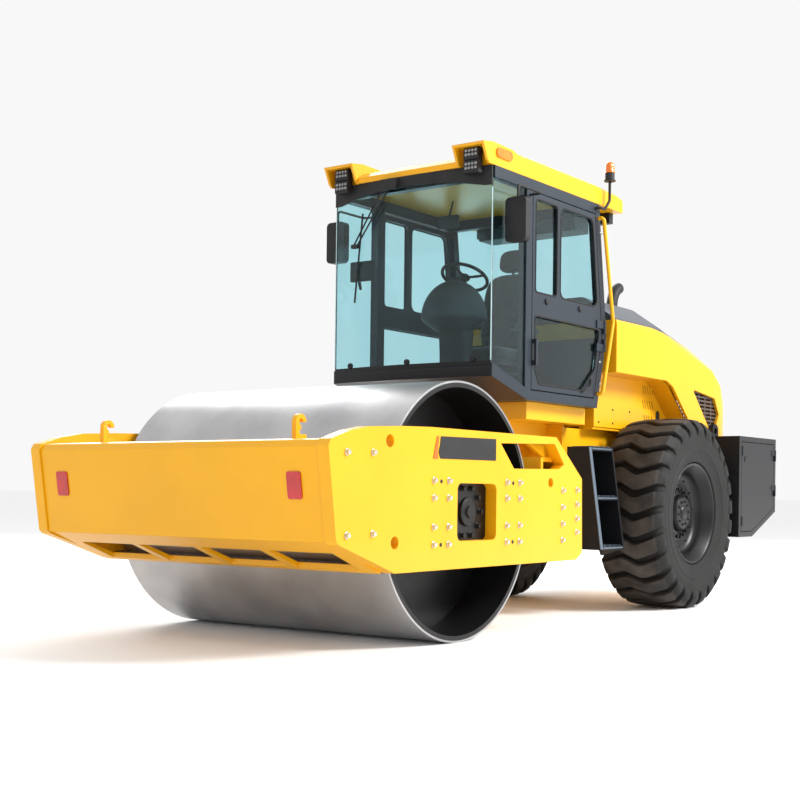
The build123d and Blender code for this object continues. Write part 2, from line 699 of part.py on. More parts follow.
for side_name, side in (("left", 1), ("right", -1)):
    plane = side_plane(side * door_in)
    with BuildPart() as door:
        extrude(outline(plane, door_outline), amount=side * door_t)
        for pane, corner in door_panes:
            extrude(outline(plane, pane, corner), amount=side * door_t, mode=Mode.SUBTRACT)
        for z in (bulge_z - hinge_z - knuckle_h, bulge_z + hinge_z):
            with BuildSketch(Plane.XY.offset(z)):
                with Locations((side * hinge_x, hinge_y)):
                    Circle(knuckle_r)
            extrude(amount=knuckle_h)
            leaf = [(side * (half_cab - 5), hinge_y - 110), (side * (half_cab + 10), hinge_y - 110),
                    (side * (half_cab + 15), hinge_y), (side * (half_cab + 5), hinge_y),
                    (side * (half_cab + 2), hinge_y - 40), (side * (half_cab - 5), hinge_y - 60)]
            extrude(outline(Plane.XY.offset(z), leaf), amount=knuckle_h)
        extrude(rect(side_plane(side * half_cab), door_front + 6, door_front + 34, handle_z - 95,
                     handle_z + 95, 10), amount=side * handle_out)
        extrude(rect(side_plane(side * half_cab), door_front + 4, door_front + 36, handle_z - 60,
                     handle_z + 60), amount=side * (handle_out - 14), mode=Mode.SUBTRACT)
    finish(door.part, "door_" + side_name)
    pane_plane = side_plane(side * (door_in + 16))
    with BuildPart() as door_glass:
        for pane, corner in door_panes:
            extrude(outline(pane_plane, pane, corner), amount=side * glass_t)
    finish(door_glass.part, "door_glass_" + side_name)

# Roof cover, rounded along its sides, with two scoops that reach forward over the work lamps
roof_front = cab_front - glass_bow - 10
roof_rear = cab_rear + 390
roof_round = 40
scoop_front = cab_front - 145
scoop_in = half_cab - 260
scoop_t = 18
with BuildPart() as roof:
    extrude(outline(side_plane(-half_cab), [
        (roof_front, cab_top), (roof_rear, cab_top), (roof_rear, cab_top + roof_t - 30),
        (roof_rear - 60, cab_top + roof_t - 15), (roof_rear - 420, cab_top + roof_t),
        (roof_front + 350, cab_top + roof_t), (roof_front + 60, cab_top + roof_t - 70),
        (roof_front, cab_top + 40)]), amount=cab_w)
    rims_of_roof = roof.edges().filter_by(
        lambda e: abs(e.center().X) > half_cab - 1 and e.center().Z > cab_top + roof_t - 60)
    fillet(rims_of_roof, roof_round)
    for side in (1, -1):
        extrude(outline(side_plane(side * scoop_in), [
            (scoop_front, cab_top + 136), (scoop_front + 60, cab_top + 15), (roof_front + 20, cab_top + 5),
            (roof_front + 420, cab_top + 5), (roof_front + 420, cab_top + 120),
            (roof_front + 300, cab_top + roof_t), (scoop_front + 130, cab_top + roof_t + 4)]),
            amount=side * (half_cab - scoop_in))
        extrude(outline(side_plane(side * (scoop_in + scoop_t)), [
            (scoop_front - 5, cab_top + 118), (scoop_front + 40, cab_top - 5),
            (roof_front + 60, cab_top - 5), (roof_front + 60, cab_top + 118)]), amount=side * (half_cab - scoop_in - 2 * scoop_t),
            mode=Mode.SUBTRACT)
finish(roof.part, "roof")

# Amber side lamps on the scoops
side_lamp_y = roof_front + 189
with BuildPart() as side_lamps:
    extrude(rect(side_plane(half_cab), side_lamp_y - 100, side_lamp_y + 100, cab_top + 60, cab_top + 126, 32),
            amount=12)
    mirror(about=Plane.YZ)
finish(side_lamps.part, "side_lamps")

# Black visor strip below the roof's front edge, bowed like the windshield, its lower edge arched
visor_t = 14
visor_h = 135
visor_arch = 60
with BuildPart() as visor:
    with BuildSketch(Plane.XY.offset(cab_top - visor_h)):
        with BuildLine():
            ThreePointArc((-glass_side, cab_front - seat_gap), (0, cab_front - glass_bow - seat_gap),
                          (glass_side, cab_front - seat_gap))
            Line((glass_side, cab_front - seat_gap), (glass_side, cab_front - seat_gap - visor_t))
            ThreePointArc((glass_side, cab_front - seat_gap - visor_t),
                          (0, cab_front - glass_bow - seat_gap - visor_t),
                          (-glass_side, cab_front - seat_gap - visor_t))
            Line((-glass_side, cab_front - seat_gap - visor_t), (-glass_side, cab_front - seat_gap))
        make_face()
    extrude(amount=visor_h - seat_gap)
    with BuildSketch(cross_plane(cab_front + 10)):
        with BuildLine():
            ThreePointArc((-glass_side + 60, cab_top - visor_h), (0, cab_top - visor_h + visor_arch),
                          (glass_side - 60, cab_top - visor_h))
            Line((glass_side - 60, cab_top - visor_h), (-glass_side + 60, cab_top - visor_h))
        make_face()
    extrude(amount=glass_bow + visor_t + 20, mode=Mode.SUBTRACT)
finish(visor.part, "visor")

# Work lamps: two in the scoops and two at the back of the roof, with stalks up to it
lamp_w = 120
lamp_h = 84
lamp_t = 55
lamp_gap = 8
lamp_x = (scoop_in + half_cab) / 2
with BuildPart() as roof_lamps:
    for x in (-lamp_x, lamp_x):
        extrude(rect(side_plane(x - lamp_w / 2), scoop_front + 45, scoop_front + 45 + lamp_t,
                     cab_top + 118 - 2 * lamp_h - lamp_gap, cab_top + 118, 12), amount=lamp_w)
        extrude(rect(side_plane(x - lamp_w / 2), scoop_front + 40, scoop_front + 60,
                     cab_top + 118 - lamp_h - lamp_gap, cab_top + 118 - lamp_h), amount=lamp_w,
                mode=Mode.SUBTRACT)
        extrude(rect(side_plane(x - lamp_w / 2), roof_rear - 90, roof_rear - 30,
                     cab_top - lamp_h, cab_top), amount=lamp_w)
finish(roof_lamps.part, "roof_lamps")

# Beacon on a bent tube that stands on the roof ring's left side
beacon_x = half_cab + 42
beacon_y = cab_rear + 87
beacon_z = cab_top + 190
beacon_r = 40
pole_r = 11
pole_foot = (half_cab, cab_rear - 60, cab_top - 40)
pole_points = [pole_foot, (beacon_x, cab_rear - 60, cab_top - 40), (beacon_x, cab_rear + 10, cab_top - 40),
               (beacon_x, beacon_y, cab_top + 40), (beacon_x, beacon_y, beacon_z)]
with BuildPart() as beacon_pole:
    with BuildLine() as pole_path:
        FilletPolyline(*pole_points, radius=26)
    with BuildSketch(Plane(origin=pole_foot, z_dir=(1, 0, 0))):
        Circle(pole_r)
    sweep(path=pole_path.line)
    extrude(disc(Plane.XY.offset(beacon_z), beacon_x, beacon_y, beacon_r + 5), amount=10)
    extrude(disc(Plane.XY.offset(beacon_z + 10), beacon_x, beacon_y, beacon_r - 3), amount=55)
finish(beacon_pole.part, "beacon_pole")
with BuildPart() as beacon:
    extrude(disc(Plane.XY.offset(beacon_z + 65), beacon_x, beacon_y, beacon_r), amount=90)
    fillet(beacon.edges().sort_by(Axis.Z)[-1], 22)
finish(beacon.part, "beacon")

# Cooling unit under the roof's rear overhang
with BuildPart() as ac_box:
    extrude(rect(side_plane(-450), cab_rear + 60, roof_rear - 110, cab_top - 160, cab_top), amount=900)
finish(ac_box.part, "ac_box")

# Mirrors on tubes from the middle posts
mirror_x = half_cab + 100
mirror_y = cab_front + 149
mirror_w = 168
mirror_d = 62
mirror_low = 2652
mirror_top = 2960
mirror_tube_r = 9
mirror_bar_z = mirror_top + 90
with BuildPart() as mirrors:
    mirror_bar = [(half_cab, post_y + 40, mirror_bar_z), (mirror_x, post_y + 40, mirror_bar_z),
                  (mirror_x, mirror_y, mirror_bar_z), (mirror_x, mirror_y, mirror_top - 30)]
    with BuildLine() as mirror_path:
        FilletPolyline(*mirror_bar, radius=35)
    with BuildSketch(Plane(origin=mirror_bar[0], z_dir=(1, 0, 0))):
        Circle(mirror_tube_r)
    sweep(path=mirror_path.line)
    extrude(rect(cross_plane(mirror_y + mirror_d / 2), mirror_x - mirror_w / 2, mirror_x + mirror_w / 2,
                 mirror_low, mirror_top, 34), amount=mirror_d)
    mirror(about=Plane.YZ)
finish(mirrors.part, "mirrors")

# Grab rails that bulge with the rear posts
rail_x = half_cab + 45
rail_r = 15
rail_out = 40
with BuildPart() as grab_rails:
    rail_points = [(half_cab, rear_line(3060, 25), 3060), (rail_x, rear_line(3060, 25), 3060),
                   (rail_x, rear_line(bulge_z + 120, -rail_out), bulge_z + 120),
                   (rail_x, rear_line(1700, 25), 1700), (half_cab, rear_line(1700, 25), 1700)]
    with BuildLine() as rail_path:
        FilletPolyline(*rail_points, radius=28)
    with BuildSketch(Plane(origin=rail_points[0], z_dir=(1, 0, 0))):
        Circle(rail_r)
    sweep(path=rail_path.line)
    mirror(about=Plane.YZ)
finish(grab_rails.part, "grab_rails")

# Driver's seat with a rounded back, head rest and arm rests on a square base
seat_y = cab_front + 1060
seat_w = 510
cushion_z = floor_top + 260
cushion_t = 130
back_h = 640
back_t = 105
back_foot = (0, seat_y + 150, cushion_z + cushion_t - 20)
back = Plane(origin=back_foot, x_dir=(1, 0, 0), z_dir=(0, -1, 0.19))
with BuildPart() as back_rest:
    extrude(rect(back, -seat_w / 2 + 20, seat_w / 2 - 20, 0, back_h, 110), amount=-back_t)
    fillet(back_rest.edges().group_by(Axis.Y)[0], 26)
with BuildPart() as seat:
    extrude(rect(Plane.XY.offset(floor_top), -180, 180, seat_y - 200, seat_y + 200, 30), amount=260)
    extrude(rect(Plane.XY.offset(cushion_z), -seat_w / 2, seat_w / 2, seat_y - 270, seat_y + 250, 80),
            amount=cushion_t)
    fillet(seat.edges().group_by(Axis.Z)[-1], 30)
    add(back_rest.part)
    extrude(rect(back.offset(-12), -135, 135, back_h + 25, back_h + 215, 60), amount=-80)
    extrude(rect(back.offset(-30), -60, 60, back_h - 40, back_h + 40), amount=-24)
    for side in (1, -1):
        extrude(rect(Plane.XY.offset(cushion_z + 170), side * 300 - 32, side * 300 + 32, seat_y - 190,
                     seat_y + 200, 30), amount=120)
        extrude(rect(Plane.XY.offset(cushion_z + 20), side * 300 - 15, side * 300 + 15,
                     seat_y - 60, seat_y + 60), amount=160)
        extrude(rect(Plane.XY.offset(cushion_z + 20), side * 270 - 45, side * 270 + 45,
                     seat_y - 60, seat_y + 60), amount=50)
finish(seat.part, "seat")

# Steering column with a domed cover over the dials, and the wheel behind it
console_y = cab_front + 560
dome_r = 255
dome_low = floor_top + 557
dome_h = 300
wheel_r = 190
tilt = Plane(origin=(0, console_y + 130, dome_low + dome_h + 25), x_dir=(1, 0, 0), z_dir=(0, 0.5, 1))
with BuildPart() as wheel_ring:
    with BuildSketch(tilt):
        Circle(wheel_r)
        Circle(wheel_r - 30, mode=Mode.SUBTRACT)
        Rectangle(2 * wheel_r - 40, 36)
        Circle(45)
    extrude(amount=28)
    extrude(disc(tilt, 0, 0, 28), amount=-170)
with BuildPart() as dome:
    with BuildSketch(side_plane(0)):
        with BuildLine():
            Polyline((console_y, dome_low + dome_h), (console_y, dome_low - 90),
                     (console_y + 140, dome_low - 90), (console_y + dome_r, dome_low))
            Spline((console_y + dome_r, dome_low), (console_y + 0.72 * dome_r, dome_low + 0.7 * dome_h),
                   (console_y, dome_low + dome_h), tangents=[(0, 1), (-1, 0)])
        make_face()
    revolve(axis=Axis((0, console_y, 0), (0, 0, 1)))
with BuildPart() as console:
    extrude(rect(Plane.XY.offset(floor_top), -125, 125, console_y - 60, console_y + 115, 30),
            amount=dome_low - 60 - floor_top)
    add(dome.part)
    add(wheel_ring.part)
finish(console.part, "console")


def glass_line(x, ahead):
    """Point ahead of the bowed windshield at x, as its y value."""
    return cab_front - glass_bow * (1 - (x / glass_side) ** 2) - ahead


# Wiper: a motor box on the visor, two parallel arms and a blade along the glass
wiper_x = -135
wiper_top = cab_top - 40
arm_r = 6
blade_r = 7
blade_ends = [(-405, 2951), (-479, 2305)]
wiper_joint = (-467, 2715)
arm_set = 26
with BuildPart() as wiper:
    extrude(rect(Plane.XZ.offset(-glass_line(wiper_x, visor_t - 12)), wiper_x - 75, wiper_x + 75,
                 wiper_top - 45, wiper_top + 30, 14), amount=50)
    extrude(rect(Plane.XZ.offset(-glass_line(wiper_x, visor_t - 14)), wiper_x - 85, wiper_x + 85,
                 wiper_top - 55, wiper_top + 40), amount=16.5, mode=Mode.SUBTRACT)
    for shift in (-32, 32):
        with BuildLine() as arm_path:
            Line((wiper_x + shift, glass_line(wiper_x, 40), wiper_top),
                 (wiper_joint[0] + shift / 2, glass_line(wiper_joint[0], arm_set), wiper_joint[1]))
        with BuildSketch(Plane(origin=arm_path.line @ 0, z_dir=arm_path.line % 0)):
            Circle(arm_r)
        sweep(path=arm_path.line)
    with BuildLine() as blade_path:
        Line((blade_ends[0][0], glass_line(blade_ends[0][0], blade_r + 2), blade_ends[0][1]),
             (blade_ends[1][0], glass_line(blade_ends[1][0], blade_r + 2), blade_ends[1][1]))
    with BuildSketch(Plane(origin=blade_path.line @ 0, z_dir=blade_path.line % 0)):
        Circle(blade_r)
    sweep(path=blade_path.line)
    extrude(rect(Plane.XZ.offset(-glass_line(wiper_joint[0], blade_r)), wiper_joint[0] - 30,
                 wiper_joint[0] + 30, wiper_joint[1] - 14, wiper_joint[1] + 14), amount=30)
finish(wiper.part, "wiper")

# Hood: wide upper shell over narrower side panels, open below, with rounded shoulders
hood_top_w = 900
shoulder_r = 70
crest_r = 90
crest_y = hood_front + 830
crest_z = 2500
drop_y = hood_rear - 310
knee_y = hood_rear - 130
hood_stations = [
    (hood_front, half_hood, 2300, hood_top_w / 2, crest_z),
    (crest_y, half_hood, 2295, hood_top_w / 2, crest_z),
    (drop_y, half_hood - 10, 2035, hood_top_w / 2, 2290),
    (knee_y, half_hood - 20, 1930, hood_top_w / 2, 2215),
    (hood_rear, half_hood - 50, 1790, hood_top_w / 2 - 40, 2040)]


def hood_section(station, inset, below):
    """Cross-section of the hood at one station, moved inward by an inset, reaching below its lower edge."""
    y, side_x, side_z, top_x, top_z = station
    side_x -= inset
    top_x -= inset / 2
    with BuildSketch(cross_plane(y)) as face:
        with BuildLine():
            Polyline((-side_x, hood_low - below), (side_x, hood_low - below), (side_x, side_z - inset / 2),
                     (top_x, top_z - inset), (-top_x, top_z - inset), (-side_x, side_z - inset / 2),
                     close=True)
        make_face()
        fillet(face.vertices().sort_by(Axis.Y)[2:4], shoulder_r)
        fillet(face.vertices().sort_by(Axis.Y)[-2:], crest_r)
    return face.sketch


def hood_body(inset, below):
    """The hood's outer form, or an inner one set in from every wall by an inset."""
    ends = {hood_front: inset, hood_rear: -inset}
    with BuildPart() as made:
        loft([hood_section((station[0] + ends.get(station[0], 0),) + station[1:], inset, below)
              for station in hood_stations], ruled=True)
    return made.part


flange_back = hood_front + 1040
recess = [(hood_front - 5, hood_low - 5), (hood_front - 5, flange_z), (flange_back - 120, flange_z),
          (flange_back, flange_z - 40), (flange_back + 360, flange_z - 330),
          (flange_back + 760, hood_low - 5)]
grown = [(hood_front + hood_wall, hood_low), (hood_front + hood_wall, flange_z + hood_wall),
         (flange_back - 110, flange_z + hood_wall), (flange_back + 15, flange_z - 20),
         (flange_back + 375, flange_z - 312), (flange_back + 785, hood_low)]
half_panel = panel_w / 2
recess_depth = half_hood - half_panel + 20
band_t = 15
band_top = hood_low + 190
band_back = flange_back - 60
slot_w = 12
slot_h = 84
slot_rows = (band_top - 90, band_top + 40, band_top + 165)
slot_lean = 24
slot_pitch = 44
slots_in_row = 5
grille_t = 12
side_grille = [(2316, 1850), (2806, 1800), (2916, 1660), (2836, 1520), (2696, 1510)]
side_grille = [(y + hood_rear - 3086, z) for y, z in side_grille]
rear_grille_w = 960
rear_grille_low = hood_low + 110
rear_grille_top = hood_low + 410
top_seam = [(hood_front - 5, 2300), (crest_y - 200, 2302), (crest_y + 340, 2242), (drop_y - 420, 2190),
            (drop_y - 300, 2235), (drop_y - 250, 2380), (drop_y - 250, 2600), (hood_front - 5, 2600)]
with BuildPart() as shell:
    add(hood_body(0, 0))
    for side in (1, -1):
        extrude(outline(side_plane(side * half_panel), recess), amount=side * recess_depth, mode=Mode.SUBTRACT)
    add(hood_body(hood_wall, 10), mode=Mode.SUBTRACT)
    for side in (1, -1):
        extrude(outline(side_plane(side * (half_panel - hood_wall)), grown),
                amount=side * (half_hood - hood_wall - half_panel))
        extrude(outline(side_plane(side * half_panel), recess), amount=side * recess_depth, mode=Mode.SUBTRACT)
        extrude(outline(side_plane(side * half_panel), [
            (hood_front, hood_low), (band_back, hood_low), (band_back + 60, hood_low + 60),
            (band_back, band_top), (hood_front, band_top)]), amount=side * band_t)
        for z in slot_rows:
            with BuildSketch(side_plane(side * (half_panel - hood_wall - 5))):
                with Locations((band_back + 10, z)):
                    with GridLocations(slot_pitch, 1, slots_in_row, 1):
                        Rectangle(slot_w, slot_h, rotation=slot_lean)
            extrude(amount=side * (hood_wall + band_t + 10), mode=Mode.SUBTRACT)
        extrude(outline(side_plane(side * (half_hood - 100)), side_grille, 14), amount=side * 120,
                mode=Mode.SUBTRACT)
        knuckle_plane = side_plane(side * hood_knuckle_x)
        extrude(disc(knuckle_plane, hood_pivot_y, hood_pivot_z, hood_knuckle_r), amount=side * hood_knuckle_len)
        extrude(disc(knuckle_plane, hood_pivot_y, hood_pivot_z, hood_pin_r + fit_gap),
                amount=side * hood_knuckle_len, mode=Mode.SUBTRACT)
        extrude(rect(side_plane(side * (hood_ear_x - seat_gap)), hood_rear - hood_wall - 5, hood_rear + 5,
                     hood_low - 5, hood_pivot_z + hood_knuckle_r + 6), amount=side * (hood_ear_t + 6),
                mode=Mode.SUBTRACT)
    extrude(rect(cross_plane(hood_rear + 5), -rear_grille_w / 2, rear_grille_w / 2, rear_grille_low,
                 rear_grille_top, 30), amount=hood_wall + 10, mode=Mode.SUBTRACT)
with BuildPart() as hood:
    add(shell.part)
    extrude(outline(side_plane(-half_hood), top_seam), amount=hood_w, mode=Mode.SUBTRACT)
finish(hood.part, "hood")
with BuildPart() as hood_top:
    add(shell.part)
    extrude(outline(side_plane(-half_hood), top_seam), amount=hood_w, mode=Mode.INTERSECT)
finish(hood_top.part, "hood_top")

# Grilles behind the openings in the hood's sides and rear
with BuildPart() as hood_grilles:
    add(hood_body(hood_wall + seat_gap, 0))
    add(hood_body(hood_wall + seat_gap + grille_t, 10), mode=Mode.SUBTRACT)
    with BuildPart(mode=Mode.INTERSECT):
        for side in (1, -1):
            extrude(outline(side_plane(side * (half_hood - 160)), [
                (side_grille[0][0] - 30, side_grille[0][1] + 12),
                (side_grille[1][0] + 8, side_grille[1][1] + 16), (side_grille[2][0] + 16, side_grille[2][1]),
                (side_grille[3][0] + 10, side_grille[3][1] - 16),
                (side_grille[4][0] - 12, side_grille[4][1] - 16)]), amount=side * 180)
        extrude(rect(cross_plane(hood_rear + 5), -rear_grille_w / 2 - 20, rear_grille_w / 2 + 20,
                     rear_grille_low - 20, rear_grille_top + 20), amount=60)
    for side in (1, -1):
        with BuildSketch(side_plane(side * (half_hood - 160))):
            with Locations((side_grille[0][0] + 330, rear_grille_low + 110)):
                with GridLocations(132, 34, 4, 9):
                    Rectangle(112, 18)
        extrude(amount=side * 180, mode=Mode.SUBTRACT)
    with BuildSketch(cross_plane(hood_rear + 5)):
        with Locations((0, (rear_grille_low + rear_grille_top) / 2)):
            with GridLocations(232, 34, 4, 8):
                Rectangle(208, 18)
    extrude(amount=80, mode=Mode.SUBTRACT)
finish(hood_grilles.part, "hood_grilles")

# Tail lamps on the hood's rear wall
tail_lamp_x = rear_grille_w / 2 + 90
with BuildPart() as tail_lamps:
    extrude(rect(cross_plane(hood_rear), tail_lamp_x - 50, tail_lamp_x + 50, rear_grille_low + 40,
                 rear_grille_low + 180, 20), amount=-18)
    mirror(about=Plane.YZ)
finish(tail_lamps.part, "tail_lamps")

# Exhaust outlet on the hood's top
exhaust_x = 300
exhaust_y = crest_y - 60
exhaust_r = 48
with BuildPart() as exhaust:
    exhaust_foot = crest_z
    exhaust_points = [(exhaust_x, exhaust_y, exhaust_foot), (exhaust_x, exhaust_y, exhaust_foot + 140),
                      (exhaust_x, exhaust_y + 130, exhaust_foot + 200)]
    with BuildLine() as exhaust_path:
        FilletPolyline(*exhaust_points, radius=60)
    with BuildSketch(Plane(origin=exhaust_points[0], z_dir=(0, 0, 1))):
        Circle(exhaust_r)
    sweep(path=exhaust_path.line)
finish(exhaust.part, "exhaust")

# Engine with its cooler, a plain block under the hood
engine_y = axle_y + 150
with BuildPart() as engine:
    extrude(rect(side_plane(-330), engine_y - 550, engine_y + 450, chassis_low + 60, 2050), amount=660)
    extrude(rect(side_plane(-400), engine_y + 450, engine_y + 620, chassis_low + 60, 1980), amount=800)
finish(engine.part, "engine")

# Side boxes behind the tyres, open outward, each with a lid hinged at its rear edge
box_front = axle_y + tyre_d / 2 + 30
box_rear = box_front + box_len - 5
box_wall = 20
box_slope_z = 784
box_slope_y = box_rear - 545
box_line = [(box_front, box_low), (box_slope_y, box_low), (box_rear, box_slope_z), (box_rear, chassis_top),
            (box_front, chassis_top)]
frame_bar = 45
lid_line = [(box_front + frame_bar, box_low + frame_bar), (box_slope_y - 12, box_low + frame_bar),
            (box_rear - frame_bar, box_slope_z + frame_bar - 16),
            (box_rear - frame_bar, chassis_top - frame_bar), (box_front + frame_bar, chassis_top - frame_bar)]
lid_gap = 6
lid_hinge_y = box_rear - frame_bar + 8
lid_hinge_x = box_out + 10
lid_knuckle_r = 8
lid_knuckle_h = 50
lid_leaf_t = 4
lid_hinges = (box_slope_z + 190, chassis_top - 150)
for side_name, side in (("left", 1), ("right", -1)):
    with BuildPart() as side_box:
        extrude(outline(side_plane(side * chassis_w / 2), box_line),
                amount=side * (box_out - chassis_w / 2))
        hollow = [(y, z) for y, z in lid_line]
        extrude(outline(side_plane(side * (chassis_w / 2 + box_wall)), hollow),
                amount=side * (box_out - chassis_w / 2), mode=Mode.SUBTRACT)
        for z in lid_hinges:
            low = Plane.XY.offset(z - lid_knuckle_h - seat_gap)
            extrude(disc(low, side * lid_hinge_x, lid_hinge_y, lid_knuckle_r), amount=lid_knuckle_h)
            extrude(outline(low, [
                (side * (box_out - 2), lid_hinge_y), (side * lid_hinge_x, lid_hinge_y),
                (side * lid_hinge_x, lid_hinge_y + 6), (side * (box_out - 2), lid_hinge_y + 20)]),
                amount=lid_knuckle_h)
    finish(side_box.part, "side_box_" + side_name)
    lid = [(box_front + frame_bar + lid_gap, box_low + frame_bar + lid_gap),
           (box_slope_y - 12 - 2, box_low + frame_bar + lid_gap),
           (box_rear - frame_bar - lid_gap, box_slope_z + frame_bar - 16 + 3),
           (box_rear - frame_bar - lid_gap, chassis_top - frame_bar - lid_gap),
           (box_front + frame_bar + lid_gap, chassis_top - frame_bar - lid_gap)]
    with BuildPart() as box_lid:
        extrude(outline(side_plane(side * (box_out - lid_t)), lid), amount=side * lid_t)
        for z in lid_hinges:
            level = Plane.XY.offset(z)
            extrude(disc(level, side * lid_hinge_x, lid_hinge_y, lid_knuckle_r), amount=lid_knuckle_h)
            extrude(outline(level, [
                (side * (box_out - 2), lid_hinge_y - 60), (side * (box_out + lid_leaf_t), lid_hinge_y - 60),
                (side * lid_hinge_x, lid_hinge_y - 6), (side * lid_hinge_x, lid_hinge_y),
                (side * (box_out + 3), lid_hinge_y), (side * (box_out + 1), lid_hinge_y - 14),
                (side * (box_out - 2), lid_hinge_y - 18)]), amount=lid_knuckle_h)
    finish(box_lid.part, "box_lid_" + side_name)

# Rear weight that closes the frame between the side boxes
with BuildPart() as rear_weight:
    extrude(rect(side_plane(-chassis_w / 2), chassis_rear, tail_y, box_low, chassis_top), amount=chassis_w)
finish(rear_weight.part, "rear_weight")

# Lifting eyes on the rear corners of the frame
eye_y = axle_y + 1130
eye_hole_r = 30
with BuildPart() as lifting_eyes:
    with BuildSketch(side_plane(half_hood + seat_gap)):
        with Locations((eye_y, chassis_top + 62)):
            Circle(62)
        with Locations((eye_y, chassis_top + 30)):
            Rectangle(124, 60)
        with Locations((eye_y, chassis_top + 60)):
            Circle(eye_hole_r, mode=Mode.SUBTRACT)
    extrude(amount=40)
    mirror(about=Plane.YZ)
finish(lifting_eyes.part, "lifting_eyes")
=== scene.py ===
# %% [markdown]
# # A single-drum road roller
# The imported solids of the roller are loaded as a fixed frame. Everything made below is in
# metres in that frame: +X is the machine's left, the drum is toward -Y, and the ground is z = 0.
# Places are read from the boxes of the solids, so each piece sits where the solids say.

# %% Load the frame and keep its box
from math import cos, pi, radians, sin

import bmesh
import bpy
import numpy as np
from mathutils import Matrix, Vector


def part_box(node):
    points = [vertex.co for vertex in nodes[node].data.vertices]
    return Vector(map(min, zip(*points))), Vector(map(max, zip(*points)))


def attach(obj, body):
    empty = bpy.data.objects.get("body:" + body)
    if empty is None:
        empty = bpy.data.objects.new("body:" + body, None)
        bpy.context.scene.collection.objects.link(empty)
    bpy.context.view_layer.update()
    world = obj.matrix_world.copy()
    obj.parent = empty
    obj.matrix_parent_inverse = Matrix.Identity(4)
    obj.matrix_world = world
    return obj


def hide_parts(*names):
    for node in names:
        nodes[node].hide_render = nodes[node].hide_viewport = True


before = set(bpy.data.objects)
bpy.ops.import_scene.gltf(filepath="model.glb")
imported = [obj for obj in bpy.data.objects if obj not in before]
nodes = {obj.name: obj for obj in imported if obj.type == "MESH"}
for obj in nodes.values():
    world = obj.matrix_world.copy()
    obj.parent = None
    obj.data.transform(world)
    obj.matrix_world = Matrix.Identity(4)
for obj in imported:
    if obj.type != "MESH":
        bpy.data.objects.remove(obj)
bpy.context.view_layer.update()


def span(node):
    """Lowest and highest corner of a solid as two numpy rows."""
    low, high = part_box(node)
    return np.array(low), np.array(high)


drum_low, drum_high = span("drum")
drum_axis = (drum_low + drum_high) / 2
drum_radius = (drum_high[2] - drum_low[2]) / 2
wheel_low, wheel_high = span("rim_left")
wheel_mid = (wheel_low + wheel_high) / 2
plate_face = span("drum_frame_left")[1][0]
print("pieces in the frame:", len(nodes), "drum axis:", drum_axis.round(3))

# %% [markdown]
# ## Camera and stage
# The photograph was taken from low down, level, a little to the left of the machine's nose. A
# level camera keeps the posts upright, and the horizon is put below the middle of the picture by
# a small shift of the lens. The floor is pale and the light is soft, with the strongest lamp high
# on the machine's left and behind, so the long side plate is the brightest face and the shadow
# falls to the right and ahead. A wide panel behind the machine brightens the top of the drum.

# %% Camera
camera_place = np.array((5.6508, -8.6115, 0.9041))
camera_yaw = radians(36.47)
camera_roll = 0.0121
focal_px = 1337.55
horizon_px = 493.9
picture_px = 800
film_mm = 36.0


def photo_camera():
    """A level camera looking along (-sin yaw, cos yaw, 0), turned by its roll about that line."""
    forward = np.array((-sin(camera_yaw), cos(camera_yaw), 0.0))
    right = np.array((cos(camera_yaw), sin(camera_yaw), 0.0))
    up = np.array((0.0, 0.0, 1.0))
    turned_right = right * cos(camera_roll) + up * sin(camera_roll)
    turned_up = up * cos(camera_roll) - right * sin(camera_roll)
    lens = bpy.data.cameras.new("photo_camera")
    lens.sensor_width = film_mm
    lens.lens = film_mm * focal_px / picture_px
    lens.shift_y = (horizon_px - picture_px / 2) / picture_px
    lens.clip_end = 2000
    camera = bpy.data.objects.new("photo_camera", lens)
    bpy.context.scene.collection.objects.link(camera)
    axes = np.eye(4)
    axes[:3, 0], axes[:3, 1], axes[:3, 2] = turned_right, turned_up, -forward
    axes[:3, 3] = camera_place
    camera.matrix_world = Matrix(axes.tolist())
    bpy.context.scene.camera = camera
    return camera


print("camera:", photo_camera().name)

# %% [markdown]
# ## Surfaces from numpy arrays
# Every new piece is a surface worked out as whole arrays: a grid of points, a profile turned
# about an axis, or a section carried along a path. A surface is kept as a pair of arrays, its
# points and its four-cornered faces, so many of them can be stacked into one mesh.


# %% Surface helpers
def surface(points, wrap_u=False, wrap_v=False):
    """Faces over a grid P[i, j]; a wrapped direction joins its last row to its first."""
    rows, columns = points.shape[:2]
    index = np.arange(rows * columns).reshape(rows, columns)
    i = np.arange(rows if wrap_u else rows - 1)
    j = np.arange(columns if wrap_v else columns - 1)
    i2, j2 = (i + 1) % rows, (j + 1) % columns
    corners = (index[np.ix_(i, j)], index[np.ix_(i2, j)], index[np.ix_(i2, j2)], index[np.ix_(i, j2)])
    return points.reshape(-1, 3), np.stack(corners, -1).reshape(-1, 4)


def stack(parts):
    """Several surfaces as one: each one's faces are shifted by the points that came before."""
    counts = np.cumsum([0] + [len(p) for p, _ in parts])
    return (np.concatenate([p for p, _ in parts]),
            np.concatenate([f + n for (_, f), n in zip(parts, counts)]))


def copies(part, moves):
    """A surface repeated at each row (x, y, z) of moves, all in one array."""
    points, faces = part
    moves = np.asarray(moves, float).reshape(-1, 1, 3)
    shifts = np.arange(len(moves)).reshape(-1, 1, 1) * len(points)
    return (points[None] + moves).reshape(-1, 3), (faces[None] + shifts).reshape(-1, 4)


